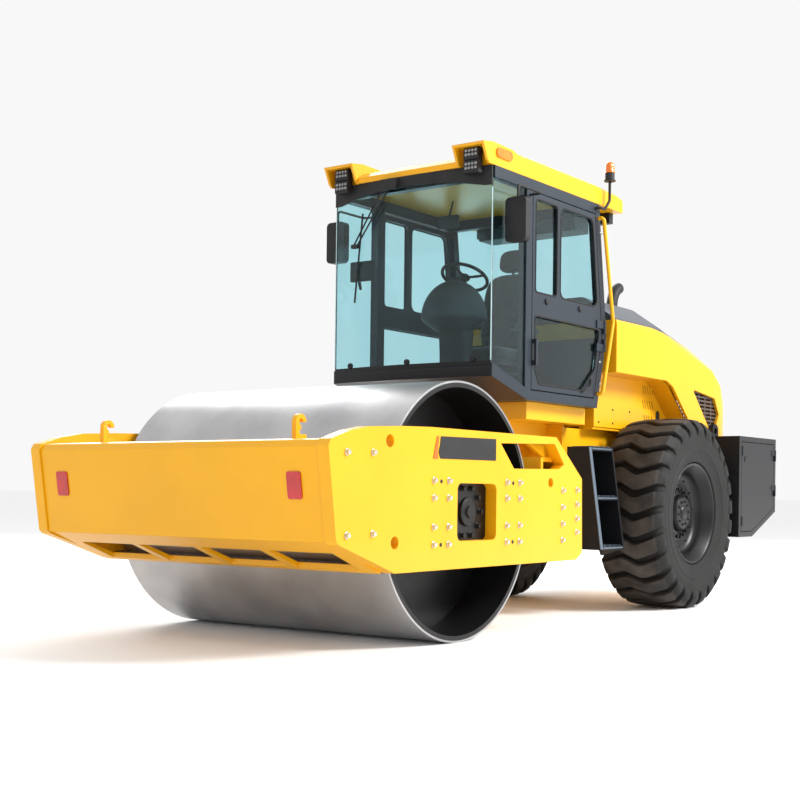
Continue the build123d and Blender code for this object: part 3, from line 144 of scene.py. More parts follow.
def turned(profile, sides, axis=0, start=0.0):
    """Profile of (along, radius) rows turned about a main axis: the angle runs all the way round.
    A profile that begins and ends at radius 0, or ends where it began, gives a closed form."""
    profile = np.asarray(profile, float)
    angle = start + np.linspace(0, 2 * pi, sides, endpoint=False)
    points = np.zeros((len(profile), sides, 3))
    points[..., axis] = profile[:, :1]
    points[..., (axis + 1) % 3] = profile[:, 1:] * np.cos(angle)
    points[..., (axis + 2) % 3] = profile[:, 1:] * np.sin(angle)
    return surface(points, wrap_v=True)


def with_ends(rings):
    """Rows of a grid with one row put before and one after, each shrunk to its neighbour's mean."""
    ends = np.ones((1, rings.shape[1], 1))
    first, last = rings[:1].mean(1, keepdims=True) * ends, rings[-1:].mean(1, keepdims=True) * ends
    return np.concatenate((first, rings, last))


def capped(points):
    """Surface over a grid of rings that closes to a point at both ends."""
    return surface(with_ends(points), wrap_v=True)


def moved(part, place):
    """Surface shifted by a place: P + place."""
    return part[0] + np.asarray(place, float), part[1]


def mirrored(part, axis=0):
    """Surface reflected across the middle, with its faces turned round to point outwards again."""
    flip = np.ones(3)
    flip[axis] = -1
    return part[0] * flip, part[1][:, ::-1]


def both(part):
    """Surface together with its reflection across the middle of the machine."""
    return stack([part, mirrored(part)])


def carried(path, section, up=(0, 0, 1), closed=False):
    """Section of (side, up) rows carried along a path of points. At each point the section lies
    across the path's direction, worked out from the neighbours on both sides."""
    path, section = np.asarray(path, float), np.asarray(section, float)
    ahead = np.roll(path, -1, 0) - np.roll(path, 1, 0)
    if not closed:
        ahead[0], ahead[-1] = path[1] - path[0], path[-1] - path[-2]
    ahead /= np.linalg.norm(ahead, axis=1, keepdims=True)
    side = np.cross(ahead, np.broadcast_to(np.asarray(up, float), ahead.shape))
    side /= np.linalg.norm(side, axis=1, keepdims=True)
    lift = np.cross(side, ahead)
    points = (path[:, None] + section[None, :, :1] * side[:, None] + section[None, :, 1:] * lift[:, None])
    if closed:
        return surface(points, wrap_u=True, wrap_v=True)
    return capped(points)


def circle(radius, sides=12):
    """Closed outline of (radius cos a, radius sin a) rows, with the angle a in even steps."""
    angle = np.linspace(0, 2 * pi, sides, endpoint=False)
    return np.stack((radius * np.cos(angle), radius * np.sin(angle)), -1)


def oblong(low_a, low_b, high_a, high_b):
    """Four corners of a rectangle between a low and a high corner, in turning order."""
    return [(low_a, low_b), (high_a, low_b), (high_a, high_b), (low_a, high_b)]


def rounded(corners, radius, steps=4):
    """Corner points of a closed outline with each corner replaced by a quadratic curve: it leaves
    one edge a radius before the corner and joins the next edge a radius after it."""
    corners = np.asarray(corners, float)
    back, ahead = np.roll(corners, 1, 0) - corners, np.roll(corners, -1, 0) - corners
    back *= radius / np.linalg.norm(back, axis=1, keepdims=True)
    ahead *= radius / np.linalg.norm(ahead, axis=1, keepdims=True)
    t = np.linspace(0, 1, steps)[None, :, None]
    curve = ((1 - t) ** 2 * (corners + back)[:, None] + 2 * t * (1 - t) * corners[:, None]
             + t ** 2 * (corners + ahead)[:, None])
    return curve.reshape(-1, corners.shape[1])


def plate(outline, low, high, edge, normal=0):
    """Flat plate over an outline, with its rim eased by a small edge on both faces. The outline
    shrinks toward its middle by the edge, and the faces close at the middle point."""
    outline = np.asarray(outline, float)
    middle = outline.mean(0)
    reach = np.linalg.norm(outline - middle, axis=1, keepdims=True)
    inner = middle + (outline - middle) * (1 - edge / reach)
    rings = [(low, np.broadcast_to(middle, outline.shape)), (low, inner), (low + edge, outline),
             (high - edge, outline), (high, inner), (high, np.broadcast_to(middle, outline.shape))]
    points = np.zeros((len(rings), len(outline), 3))
    points[..., normal] = np.array([level for level, _ in rings])[:, None]
    flat = np.stack([ring for _, ring in rings])
    points[..., (normal + 1) % 3], points[..., (normal + 2) % 3] = flat[..., 0], flat[..., 1]
    return surface(points, wrap_v=True)


def new_piece(name, part):
    """Object with a mesh made from a surface, linked to the scene."""
    mesh = bpy.data.meshes.new(name)
    mesh.from_pydata(part[0].tolist(), [], part[1].tolist())
    piece = bpy.data.objects.new(name, mesh)
    bpy.context.scene.collection.objects.link(piece)
    return piece


def show(name, part, finish, body, slot, smooth=True):
    """Mesh from a surface, closed at its seams and poles, dressed, and riding on a body."""
    piece = new_piece(name, part)
    mesh = piece.data
    shape = bmesh.new()
    shape.from_mesh(mesh)
    bmesh.ops.remove_doubles(shape, verts=shape.verts, dist=1e-6)
    bmesh.ops.recalc_face_normals(shape, faces=shape.faces)
    shape.to_mesh(mesh)
    shape.free()
    mesh.materials.append(finish)
    mesh.polygons.foreach_set("use_smooth", np.full(len(mesh.polygons), smooth))
    if smooth:
        mesh.set_sharp_from_angle(angle=radians(35))
    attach(piece, body)
    return piece


def show_pair(name, part, finish, body, slot, **more):
    """The same surface shown on the left and, reflected, on the right, each on its side's body."""
    return [show(name + side, shape, finish, body + side, slot, **more)
            for side, shape in (("left", part), ("right", mirrored(part)))]


print("surface helpers ready")

# %% Floor and lamps
def studio_floor():
    """Round floor: rings of growing radius about the middle, so large that its rim is the horizon."""
    reach = np.concatenate(([0.0], np.geomspace(2.0, 900.0, 24)))
    points, faces = turned(np.stack((reach * 0, reach), -1), 64, axis=2)
    return new_piece("floor", (points, faces[:, ::-1]))


def lamp(name, place, target, size, power):
    """Square lamp of a given size that shines from its place toward a target."""
    light = bpy.data.lights.new(name, "AREA")
    light.size = size
    light.energy = power
    holder = bpy.data.objects.new(name, light)
    holder.location = place
    holder.rotation_mode = "QUATERNION"
    holder.rotation_quaternion = Vector(np.subtract(place, target)).to_track_quat("Z", "Y")
    holder.visible_camera = False
    holder.visible_transmission = False
    bpy.context.scene.collection.objects.link(holder)


floor = studio_floor()
floor_paint = bpy.data.materials.new("studio_floor")
floor_paint.use_nodes = True
floor_shader = floor_paint.node_tree.nodes["Principled BSDF"]
floor_shader.inputs["Base Color"].default_value = (0.93, 0.93, 0.93, 1)
floor_shader.inputs["Roughness"].default_value = 0.75
floor.data.materials.append(floor_paint)
lamp("key_left_high", (11, 5, 9), (0, 0, 1), 4, 2600)
lamp("back_panel", (-9.6, 9.9, 8.2), (0, 0, 1), 12, 2300)
world = bpy.data.worlds.new("studio")
bpy.context.scene.world = world
world.use_nodes = True
world.node_tree.nodes["Background"].inputs["Color"].default_value = (1.0, 1.0, 1.0, 1)
world.node_tree.nodes["Background"].inputs["Strength"].default_value = 0.94
bpy.context.scene.view_settings.view_transform = "Standard"
print("floor radius:", round(max(v.co.x for v in floor.data.vertices)), "m")

# %% [markdown]
# ## Finishes
# Each finish starts from one base colour and gets what the real surface shows: a faint drift of
# colour from batch and dust, a fine bump such as orange peel in sprayed paint or grain in moulded
# plastic, and a roughness that changes a little from place to place. The patterns read Object
# coordinates, and every piece's object sits at the origin, so they keep their scale in metres.
# The solids from the frame have hard edges, so the paints round them in shading only.


# %% Finish helpers
def principled(material):
    """The Principled shader of a material."""
    return material.node_tree.nodes["Principled BSDF"]


def finish_of(name, color, roughness, metal=0.0, coat=0.0):
    """New material with a Principled shader whose plain values are set on its own sockets."""
    material = bpy.data.materials.new(name)
    material.use_nodes = True
    shader = principled(material)
    shader.inputs["Base Color"].default_value = (*color, 1)
    shader.inputs["Roughness"].default_value = roughness
    shader.inputs["Metallic"].default_value = metal
    shader.inputs["Specular IOR Level"].default_value = 0.32
    shader.inputs["Coat Weight"].default_value = coat
    shader.inputs["Coat Roughness"].default_value = 0.06
    return material


def pattern(material, kind, scale, stretch=(1, 1, 1), **settings):
    """Noise, wave or cell pattern over Object coordinates, stretched along the axes."""
    tree = material.node_tree
    place = tree.nodes.new("ShaderNodeTexCoord")
    mapping = tree.nodes.new("ShaderNodeMapping")
    mapping.inputs["Scale"].default_value = stretch
    texture = tree.nodes.new(kind)
    texture.inputs["Scale"].default_value = scale
    for key, value in settings.items():
        texture.inputs[key].default_value = value
    tree.links.new(place.outputs["Object"], mapping.inputs["Vector"])
    tree.links.new(mapping.outputs["Vector"], texture.inputs["Vector"])
    return texture


def drift(material, texture, dark, light, low=0.35, high=0.65):
    """Colour that runs from dark to light as the pattern's value goes from low to high."""
    tree = material.node_tree
    ramp = tree.nodes.new("ShaderNodeValToRGB")
    ramp.color_ramp.elements[0].position, ramp.color_ramp.elements[1].position = low, high
    ramp.color_ramp.elements[0].color = (*dark, 1)
    ramp.color_ramp.elements[1].color = (*light, 1)
    value = texture.outputs["Fac"] if "Fac" in texture.outputs else texture.outputs["Distance"]
    tree.links.new(value, ramp.inputs["Fac"])
    tree.links.new(ramp.outputs["Color"], principled(material).inputs["Base Color"])
    return ramp


def uneven_gloss(material, texture, low, high):
    """Roughness that runs between two values with the pattern."""
    tree = material.node_tree
    spread = tree.nodes.new("ShaderNodeMapRange")
    spread.inputs["To Min"].default_value, spread.inputs["To Max"].default_value = low, high
    tree.links.new(texture.outputs["Fac"], spread.inputs["Value"])
    tree.links.new(spread.outputs["Result"], principled(material).inputs["Roughness"])


def relief(material, textures, distances, edge=0.0):
    """Bumps laid one on another, each from a pattern and its depth in metres, and where an edge
    radius is given they lie on a shading normal that is rounded over the edges."""
    tree = material.node_tree
    last = None
    if edge:
        bevel = tree.nodes.new("ShaderNodeBevel")
        bevel.samples = 4
        bevel.inputs["Radius"].default_value = edge
        last = bevel.outputs["Normal"]
    for texture, distance in zip(textures, distances):
        bump = tree.nodes.new("ShaderNodeBump")
        bump.inputs["Distance"].default_value = distance
        bump.inputs["Strength"].default_value = 0.6
        value = texture.outputs["Fac"] if "Fac" in texture.outputs else texture.outputs["Distance"]
        tree.links.new(value, bump.inputs["Height"])
        if last:
            tree.links.new(last, bump.inputs["Normal"])
        last = bump.outputs["Normal"]
    if last:
        tree.links.new(last, principled(material).inputs["Normal"])


def sprayed(name, color, roughness, coat, edge=0.004):
    """Sprayed machine paint: slow drift of shade, faint orange peel, and uneven gloss."""
    material = finish_of(name, color, roughness, coat=coat)
    cloud = pattern(material, "ShaderNodeTexNoise", 1.6, Detail=5.0)
    peel = pattern(material, "ShaderNodeTexNoise", 420.0, Detail=1.0)
    deep = tuple(c * 0.93 for c in color)
    drift(material, cloud, deep, color)
    uneven_gloss(material, cloud, roughness * 0.8, roughness * 1.25)
    relief(material, [peel], [0.0003], edge)
    return material


def moulded(name, color, roughness, grain=900.0, depth=0.0004, edge=0.003):
    """Moulded plastic: fine cells of grain, slightly greyer on the worn patches."""
    material = finish_of(name, color, roughness)
    cells = pattern(material, "ShaderNodeTexVoronoi", grain)
    cloud = pattern(material, "ShaderNodeTexNoise", 7.0, Detail=4.0)
    pale = tuple(c * 1.25 + 0.004 for c in color)
    drift(material, cloud, color, pale)
    uneven_gloss(material, cloud, roughness * 0.9, min(1.0, roughness * 1.15))
    relief(material, [cells], [depth], edge)
    return material


# %% Paints and plastics
yellow = (0.88, 0.43, 0.004)
yellow_paint = sprayed("yellow_machine_paint", yellow, 0.34, 0.10, edge=0.006)
yellow_shell = sprayed("yellow_moulded_shell", (0.88, 0.42, 0.005), 0.34, 0.12, edge=0.006)
slate_paint = sprayed("slate_frame_paint", (0.018, 0.024, 0.034), 0.42, 0.1)
slate_light = sprayed("pale_slate_paint", (0.10, 0.135, 0.175), 0.40, 0.2)
cab_paint = sprayed("cab_post_paint", (0.016, 0.024, 0.035), 0.40, 0.1)
ladder_paint = sprayed("black_ladder_paint", (0.005, 0.006, 0.008), 0.5, 0.0)
box_paint = sprayed("charcoal_box_paint", (0.010, 0.0105, 0.012), 0.42, 0.05)
# black paint of the rails, lifting eyes and wheel nuts; it also colours the plates that paint the shade
# behind the hood's slots
black_paint_and_shade = sprayed("black_rail_paint_and_slot_shade", (0.004, 0.004, 0.005), 0.45, 0.0)
grille_mesh = sprayed("brown_grille_mesh", (0.075, 0.055, 0.042), 0.5, 0.1, edge=0.002)
hood_dark = sprayed("hood_top_paint", (0.045, 0.055, 0.068), 0.40, 0.2)
black_gloss = sprayed("black_rim_paint", (0.0035, 0.0035, 0.004), 0.36, 0.02, edge=0.003)
engine_cast = sprayed("engine_casting", (0.09, 0.095, 0.10), 0.62, 0.0)
black_grain = moulded("black_moulded_plastic", (0.012, 0.012, 0.013), 0.55)
dash_grain = moulded("dash_plastic", (0.035, 0.038, 0.042), 0.6)
print("sprayed and moulded finishes made")

# %% [markdown]
# ### Steel, rubber, glass and lamps
# The drum's rolling face is bright, with long fine scratches that run round it, while its inner
# discs are painted black. One material does both: the distance from the drum's axis decides.
# Rubber is nearly black with a grey bloom on the raised lugs, and painted shade makes it darker still below
# the lug tops, in the grooves and down the side walls. Glass is tinted blue-green.

# %% Drum steel
def outward_of(material, center, low, high):
    """Socket that is 0 within radius low of the axis along x through center, and 1 past high."""
    tree = material.node_tree
    value = tree.nodes.new("ShaderNodeTexCoord").outputs["Object"]
    for operation, factor in (("SUBTRACT", center), ("MULTIPLY", (0, 1, 1)), ("LENGTH", None)):
        node = tree.nodes.new("ShaderNodeVectorMath")
        node.operation = operation
        tree.links.new(value, node.inputs[0])
        if factor is not None:
            node.inputs[1].default_value = factor
        value = node.outputs["Value" if operation == "LENGTH" else "Vector"]
    step = tree.nodes.new("ShaderNodeMapRange")
    step.inputs["From Min"].default_value, step.inputs["From Max"].default_value = low, high
    tree.links.new(value, step.inputs["Value"])
    return step.outputs["Result"]


def blend_out(material, center, low, high, inner, outer):
    """Base colour that goes from a fixed inner one to the outer ramp past a radius; returns it."""
    tree = material.node_tree
    outside = outward_of(material, center, low, high)
    mix = tree.nodes.new("ShaderNodeMix")
    mix.data_type = "RGBA"
    mix.inputs["A"].default_value = (*inner, 1)
    tree.links.new(outside, mix.inputs["Factor"])
    tree.links.new(outer.outputs["Color"], mix.inputs["B"])
    tree.links.new(mix.outputs["Result"], principled(material).inputs["Base Color"])
    return outside


def drum_finish():
    """Bright steel outside a radius about the drum's axis, black paint inside it."""
    material = finish_of("drum_steel", (0.36, 0.36, 0.37), 0.30, metal=1.0)
    tree = material.node_tree
    scratch = pattern(material, "ShaderNodeTexNoise", 9.0, stretch=(60, 1, 1), Detail=6.0)
    blotch = pattern(material, "ShaderNodeTexNoise", 2.4, Detail=5.0)
    ramp = drift(material, blotch, (0.40, 0.40, 0.41), (0.54, 0.54, 0.545))
    outside = blend_out(material, drum_axis, drum_radius - 0.0121, drum_radius - 0.0119,
                        (0.010, 0.010, 0.011), ramp)
    tree.links.new(outside, principled(material).inputs["Metallic"])
    uneven_gloss(material, scratch, 0.28, 0.46)
    relief(material, [scratch], [0.0004], 0.003)
    return material


drum_steel = drum_finish()
print("drum steel outside radius:", round(float(drum_radius) - 0.012, 3))


# %% Rubber, chrome, worn steel
def tyre_rubber():
    """Rubber: a grey bloom in patches and a fine pebble, with painted shade that turns it near black below
    the lug tops, in the grooves and on the side walls.
    """
    material = finish_of("tyre_rubber", (0.016, 0.016, 0.017), 0.72)
    bloom = pattern(material, "ShaderNodeTexNoise", 5.0, Detail=7.0, Roughness=0.6)
    pebble = pattern(material, "ShaderNodeTexNoise", 260.0, Detail=2.0)
    ramp = drift(material, bloom, (0.022, 0.019, 0.017), (0.075, 0.062, 0.052), 0.36, 0.70)
    # painted shade: nearer the axle than the lug tops the rubber turns near black so the grooves read as
    # shaded; the bloom stays on the lug tops
    blend_out(material, wheel_mid, 0.735, 0.768, (0.008, 0.0075, 0.007), ramp)
    uneven_gloss(material, bloom, 0.58, 0.84)
    relief(material, [bloom, pebble], [0.004, 0.0012])
    return material


rubber = tyre_rubber()
seal_rubber = moulded("seal_rubber", (0.010, 0.010, 0.010), 0.7, grain=500.0)
chrome = finish_of("rod_chrome", (0.75, 0.76, 0.78), 0.08, metal=1.0)
relief(chrome, [pattern(chrome, "ShaderNodeTexNoise", 90.0, (1, 12, 1))], [0.00005])
worn_steel = finish_of("worn_steel", (0.16, 0.16, 0.165), 0.45, metal=1.0)
scuff = pattern(worn_steel, "ShaderNodeTexNoise", 30.0, (3, 1, 1), Detail=6.0)
drift(worn_steel, scuff, (0.10, 0.10, 0.105), (0.30, 0.30, 0.31))
relief(worn_steel, [scuff], [0.0006], 0.003)
zinc = finish_of("zinc_bolts", (0.66, 0.64, 0.58), 0.30, metal=1.0)
spangle = pattern(zinc, "ShaderNodeTexVoronoi", 220.0)
drift(zinc, spangle, (0.50, 0.48, 0.42), (0.78, 0.76, 0.70), 0.0, 0.9)
mirror_glass = finish_of("mirror_glass", (0.85, 0.87, 0.88), 0.03, metal=1.0)
relief(mirror_glass, [pattern(mirror_glass, "ShaderNodeTexNoise", 3.0)], [0.0004])
print("metals made:", chrome.name, worn_steel.name, zinc.name, mirror_glass.name)


# %% Glass and lenses
def tinted_glass():
    """Tinted pane: light passes through each face once more tinted, with a smooth clear gloss."""
    material = finish_of("tinted_glass", (0.62, 0.84, 0.88), 0.015)
    shader = principled(material)
    shader.inputs["Transmission Weight"].default_value = 1.0
    shader.inputs["IOR"].default_value = 1.3
    haze = pattern(material, "ShaderNodeTexNoise", 1.2, (1, 1, 0.4), Detail=3.0)
    drift(material, haze, (0.58, 0.82, 0.86), (0.68, 0.88, 0.91))
    uneven_gloss(material, haze, 0.0, 0.03)
    return material


def lens(name, color, ribs):
    """Moulded lens: fine ribs in relief, a little light carried inside the plastic."""
    material = finish_of(name, color, 0.15, coat=0.6)
    shader = principled(material)
    shader.inputs["Subsurface Weight"].default_value = 0.25
    shader.inputs["Subsurface Radius"].default_value = (0.02, 0.01, 0.005)
    cloud = pattern(material, "ShaderNodeTexNoise", 14.0)
    drift(material, cloud, tuple(c * 0.8 for c in color), color)
    relief(material, [pattern(material, "ShaderNodeTexWave", ribs)], [0.0015])
    return material


glass = tinted_glass()
amber = lens("amber_lens", (0.85, 0.22, 0.01), 60.0)
red_lens = lens("red_lens", (0.62, 0.015, 0.012), 70.0)
led_lens = lens("led_lens", (0.30, 0.31, 0.32), 110.0)
print("glass and lenses made:", glass.name, amber.name, red_lens.name, led_lens.name)


# %% Seat cloth and mesh
def woven(name, color, pitch):
    """Woven cloth: two sets of ribs at right angles, a soft sheen, and a mottled dye."""
    material = finish_of(name, color, 0.9)
    shader = principled(material)
    shader.inputs["Sheen Weight"].default_value = 0.35
    warp = pattern(material, "ShaderNodeTexWave", pitch)
    weft = pattern(material, "ShaderNodeTexWave", pitch)
    weft.bands_direction = "Z"
    dye = pattern(material, "ShaderNodeTexNoise", 40.0, Detail=4.0)
    drift(material, dye, tuple(c * 0.7 for c in color), tuple(c * 1.2 for c in color))
    relief(material, [warp, weft], [0.0006, 0.0006])
    return material


seat_cloth = woven("seat_cloth", (0.045, 0.055, 0.062), 160.0)
seat_trim = woven("seat_trim_cloth", (0.020, 0.022, 0.026), 220.0)
print("cloths made:", seat_cloth.name, seat_trim.name)

# %% Dress the solids
coats = {
    yellow_paint: ["drum_frame_left", "drum_frame_right", "front_beam", "beam_hooks", "rear_yoke",
                   "frame_nose", "chassis", "cab_deck", "grab_rails"],
    yellow_shell: ["hood", "roof"],
    slate_paint: ["hitch", "steer_barrel_left", "steer_barrel_right", "axle"],
    ladder_paint: ["steps_left", "steps_right"], black_paint_and_shade: ["lifting_eyes"], grille_mesh: ["hood_grilles"],
    box_paint: ["side_box_left", "side_box_right", "box_lid_left", "box_lid_right", "rear_weight"],
    cab_paint: ["cab_frame", "door_left", "door_right", "cab_floor"],
    hood_dark: ["hood_top"],
    black_gloss: ["rim_left", "rim_right", "drum_carriers"],
    black_grain: ["ac_box", "mirrors", "exhaust", "visor", "beacon_pole", "wiper", "roof_lamps"],
    glass: ["windshield", "side_glass", "rear_window", "door_glass_left", "door_glass_right"],
    chrome: ["steer_rod_left", "steer_rod_right"], worn_steel: ["scrapers"], drum_steel: ["drum"],
    amber: ["beacon", "side_lamps"], red_lens: ["reflectors", "tail_lamps"], engine_cast: ["engine"],
    dash_grain: ["console"], seat_cloth: ["seat"], rubber: ["tyre_left", "tyre_right"],
}
for finish, names in coats.items():
    for name in names:
        nodes[name].material_slots[0].material = finish
dressed = sum(len(names) for names in coats.values())
print("solids dressed:", dressed, "of", len(nodes))

# %% [markdown]
# ## Rear tyres
# A roller's rear tyre has deep bent lugs that run over the tread and some way down both side
# walls. The solid tyre in the frame has flat facets, so a rounder one stands in its place: a side
# wall profile turned about the axle, and one lug surface repeated round it by turning its angle.

# %% Tyre casing and lugs
tyre_low, tyre_high = span("tyre_left")
tyre_reach = (tyre_high[2] - tyre_low[2]) / 2
half_tread = (tyre_high[0] - tyre_low[0]) / 2
lug_total = 26
zigzag = np.array([(-1.0, -0.039), (-0.22, 0.039), (0.26, -0.039), (1.0, 0.039)])


def tyre_casing():
    """Closed ring profile turned about x: from the bead out to the side wall with its raised ring
    and rim guard, over the shoulder to the floor of the tread, and back the same way."""
    side = np.array([(0.229, 0.3915), (0.229, 0.417), (0.247, 0.419), (0.2545, 0.428), (0.2525, 0.440),
                     (0.262, 0.470), (0.2695, 0.515), (0.2745, 0.524), (0.2775, 0.531), (0.2750, 0.539),
                     (0.2780, 0.560), (0.2805, 0.600), (0.2785, 0.640), (0.2700, 0.672), (0.2540, 0.700),
                     (0.2330, 0.7160), (0.200, 0.7225), (0.120, 0.7245), (0.0, 0.7250)])
    other = side[-2::-1] * (-1, 1)
    loop = np.concatenate((side, other))
    loop = np.concatenate((loop, loop[:1]))
    return turned(loop, 156)


def tread_lugs():
    """Lug: at each station the section is a bar with eased edges, standing on the normal of the
    tread's own curve. Its middle follows a zigzag, and the angle is the offset over the radius."""
    curve = np.array([(-0.2795, 0.6300), (-0.2880, 0.6480), (-0.2885, 0.6700), (-0.2850, 0.6960),
                      (-0.2640, 0.7280), (-0.2430, 0.7560), (-0.2370, 0.7605), (-0.1900, 0.7680),
                      (-0.1450, 0.7725), (-0.1050, 0.7738), (-0.0638, 0.7746), (-0.0300, 0.7748),
                      (0.0, 0.7749)])
    curve = np.concatenate((curve, curve[-2::-1] * (-1, 1)))
    along = np.gradient(curve, axis=0)
    along /= np.linalg.norm(along, axis=1, keepdims=True)
    normal = np.stack((-along[:, 1], along[:, 0]), -1)
    depth = np.clip(np.minimum(np.arange(len(curve)), np.arange(len(curve))[::-1]) / 3, 0.12, 1)
    middle = np.interp(curve[:, 0] / half_tread, zigzag[:, 0], zigzag[:, 1])
    section = np.array([(-0.071, 0.062), (-0.0620, 0.010), (-0.0600, 0.003), (-0.0560, 0.0), (0.0, -0.0002),
                        (0.0560, 0.0), (0.0600, 0.003), (0.0620, 0.010), (0.071, 0.062), (0.0, 0.066)])
    sink = section[None, :, 1:] * depth[:, None, None]
    place = curve[:, None] - sink * normal[:, None]
    angle = (middle[:, None] + section[None, :, 0]) / 0.772
    x, radius, angle = np.moveaxis(with_ends(np.concatenate((place, angle[..., None]), -1)), -1, 0)
    turn = np.arange(lug_total)[:, None, None] * 2 * pi / lug_total + angle
    points = np.stack((x + 0 * turn, radius * np.sin(turn), radius * np.cos(turn)), -1)
    return stack([surface(points[k], wrap_v=True) for k in range(lug_total)])


tyre_middle = np.array(((tyre_low[0] + tyre_high[0]) / 2, wheel_mid[1], wheel_mid[2]))
tyre_shape = moved(stack([tyre_casing(), tread_lugs()]), tyre_middle)
tyres = show_pair("tyre_rubber_", tyre_shape, rubber, "wheel_", "rubber")
for side_name, tyre in zip(("left", "right"), tyres):
    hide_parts("tyre_" + side_name)
    print(tyre.name, "faces:", len(tyre.data.polygons), "reach:", round(tyre_reach, 3))

# %% [markdown]
# ## Bolts, rims and nuts
# A machine bolt is a washer, a six-sided head with an eased rim, and a slightly domed end. One is
# made by turning two short profiles, and a whole pattern of them is one array of shifted copies.
# Each wheel rim is one profile turned about the axle: flange, well, disc and hub cap.

# %% Bolt patterns
def bolt(size, height):
    """Washer turned with many sides under a head turned with six, both pointing along +x."""
    washer = turned([(0, 0), (0, size * 1.25), (height * 0.22, size * 1.25), (height * 0.26, size * 1.15),
                     (height * 0.26, 0)], 16)
    head = turned([(height * 0.2, 0), (height * 0.2, size), (height * 0.85, size),
                   (height * 0.97, size * 0.86), (height, 0)], 6)
    return stack([washer, head])


def bolt_ring(radius, x, total, size, height, start=0.1):
    """Circle of bolts about an axis along x: their angles are spread evenly from a first one."""
    turn = np.linspace(0, 2 * pi, total, endpoint=False) + start
    return copies(bolt(size, height), np.stack((np.full(total, x), radius * np.cos(turn),
                                                radius * np.sin(turn)), -1))


def facing_side(pairs, x):
    """Rows (x, y, z) from pairs of (y, z) on one plane across x."""
    return np.array([(x, y, z) for y, z in pairs])


plate_rows = [0.985, 0.885, 0.715, 0.612]
bolt_spots = [(y, z) for y in (-0.459, -0.308, 0.336, 0.490) for z in plate_rows]
bolt_spots += [(1.040, z) for z in (0.940, 0.829, 0.719, 0.610)]
bolt_spots += [(1.233, z) for z in (0.945, 0.848, 0.752, 0.659)]
bolt_spots += [(-1.266, 1.124), (-1.038, 1.129), (-1.262, 0.680), (-1.036, 0.685)]
plug_spots = [(-0.385, 0.98), (-0.385, 0.61), (0.410, 0.98), (0.410, 0.61)]
at_plate = facing_side(bolt_spots, plate_face - 0.001) + (0, drum_axis[1], 0)
plate_bolts = copies(bolt(0.0155, 0.022), at_plate)
plugs = copies(turned([(-0.004, 0), (-0.004, 0.012), (0.002, 0.012), (0.003, 0.006), (0.001, 0)], 16),
               facing_side(plug_spots, plate_face) + (0, drum_axis[1], 0))
show("plate_bolts", both(plate_bolts), zinc, "drum_module", "chrome", smooth=False)
show("plate_plugs", both(plugs), black_grain, "drum_module", "black_plastic")
print("bolts on each side plate:", len(bolt_spots))

# %% Wheel rims, nuts and hub caps
nut_total = 20
hub_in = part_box("axle")[1][0] + 0.0003 - (tyre_low[0] + tyre_high[0]) / 2
rim_profile = np.array([
    (hub_in, 0.0), (hub_in, 0.300), (-0.190, 0.340), (-0.205, 0.350), (-0.2453, 0.368), (-0.2453, 0.408),
    (-0.240, 0.413), (-0.2303, 0.413), (-0.2303, 0.3895), (0.2303, 0.3895), (0.2303, 0.413), (0.240, 0.413),
    (0.2453, 0.408), (0.2453, 0.399), (0.238, 0.388), (0.226, 0.382), (0.214, 0.366), (0.190, 0.356),
    (0.178, 0.342), (0.150, 0.333), (0.122, 0.322), (0.104, 0.300), (0.096, 0.272), (0.094, 0.236),
    (0.102, 0.228), (0.104, 0.160), (0.108, 0.152), (0.142, 0.142), (0.156, 0.128), (0.158, 0.062),
    (0.166, 0.056), (0.170, 0.044), (0.171, 0.0)])
rim_part = moved(turned(rim_profile, 96), tyre_middle)
nuts = moved(stack([bolt_ring(0.195, 0.103, nut_total, 0.014, 0.028),
                    bolt_ring(0.095, 0.157, 10, 0.009, 0.010),
                    bolt_ring(0.285, 0.099, 12, 0.008, 0.008)]), tyre_middle)
for side_name, rim_shape, nut_shape in (("left", rim_part, nuts),
                                        ("right", mirrored(rim_part), mirrored(nuts))):
    body = "wheel_" + side_name
    rim = show("wheel_rim_" + side_name, rim_shape, black_gloss, body, "rim_paint")
    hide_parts("rim_" + side_name)
    show("wheel_nuts_" + side_name, nut_shape, black_paint_and_shade, body, "rim_paint", smooth=False)
print("nuts on each wheel:", nut_total)

# %% [markdown]
# ## Side plate's badge, seams and bearing flange
# The plate carries a plain dark badge with an orange bar. The drum's bearing flange shows through
# the square window, held by a circle of bolts, and a weld bead runs where the front beam meets
# each plate.

# %% Badge, flange bolts and weld beads
badge = np.array([(-0.398, 1.243), (0.203, 1.250), (0.203, 1.116), (-0.402, 1.112), (-0.420, 1.150),
                  (-0.404, 1.196)])
badge_bar = np.array([(-0.474, 1.110), (-0.424, 1.111), (-0.430, 1.150), (-0.414, 1.242), (-0.436, 1.242)])


def on_plate(outline, thick):
    """Plate of a given thickness over an outline of (y, z) rows from the drum's axis, both sides."""
    shape = plate(np.asarray(outline) + (drum_axis[1], 0), plate_face - 0.002, plate_face + thick, 0.0012)
    return both(shape)


show("side_badge", on_plate(rounded(badge, 0.008), 0.003), black_grain, "drum_module", "black_plastic")
badge_orange = moulded("badge_orange", (0.80, 0.12, 0.01), 0.35)
show("side_badge_bar", on_plate(badge_bar, 0.004), badge_orange, "drum_module", "amber")
flange_cap = turned([(-0.002, 0), (-0.002, 0.09), (0.018, 0.085), (0.022, 0.07), (0.022, 0.04),
                     (0.034, 0.035), (0.034, 0)], 32)
flange_place = (span("drum_carriers")[1][0], drum_axis[1], drum_axis[2])
flange = moved(stack([bolt_ring(0.15, 0.0, 10, 0.016, 0.022, start=0.0), flange_cap]), flange_place)
show("bearing_bolts", both(flange), black_gloss, "drum_module", "dark_paint", smooth=False)


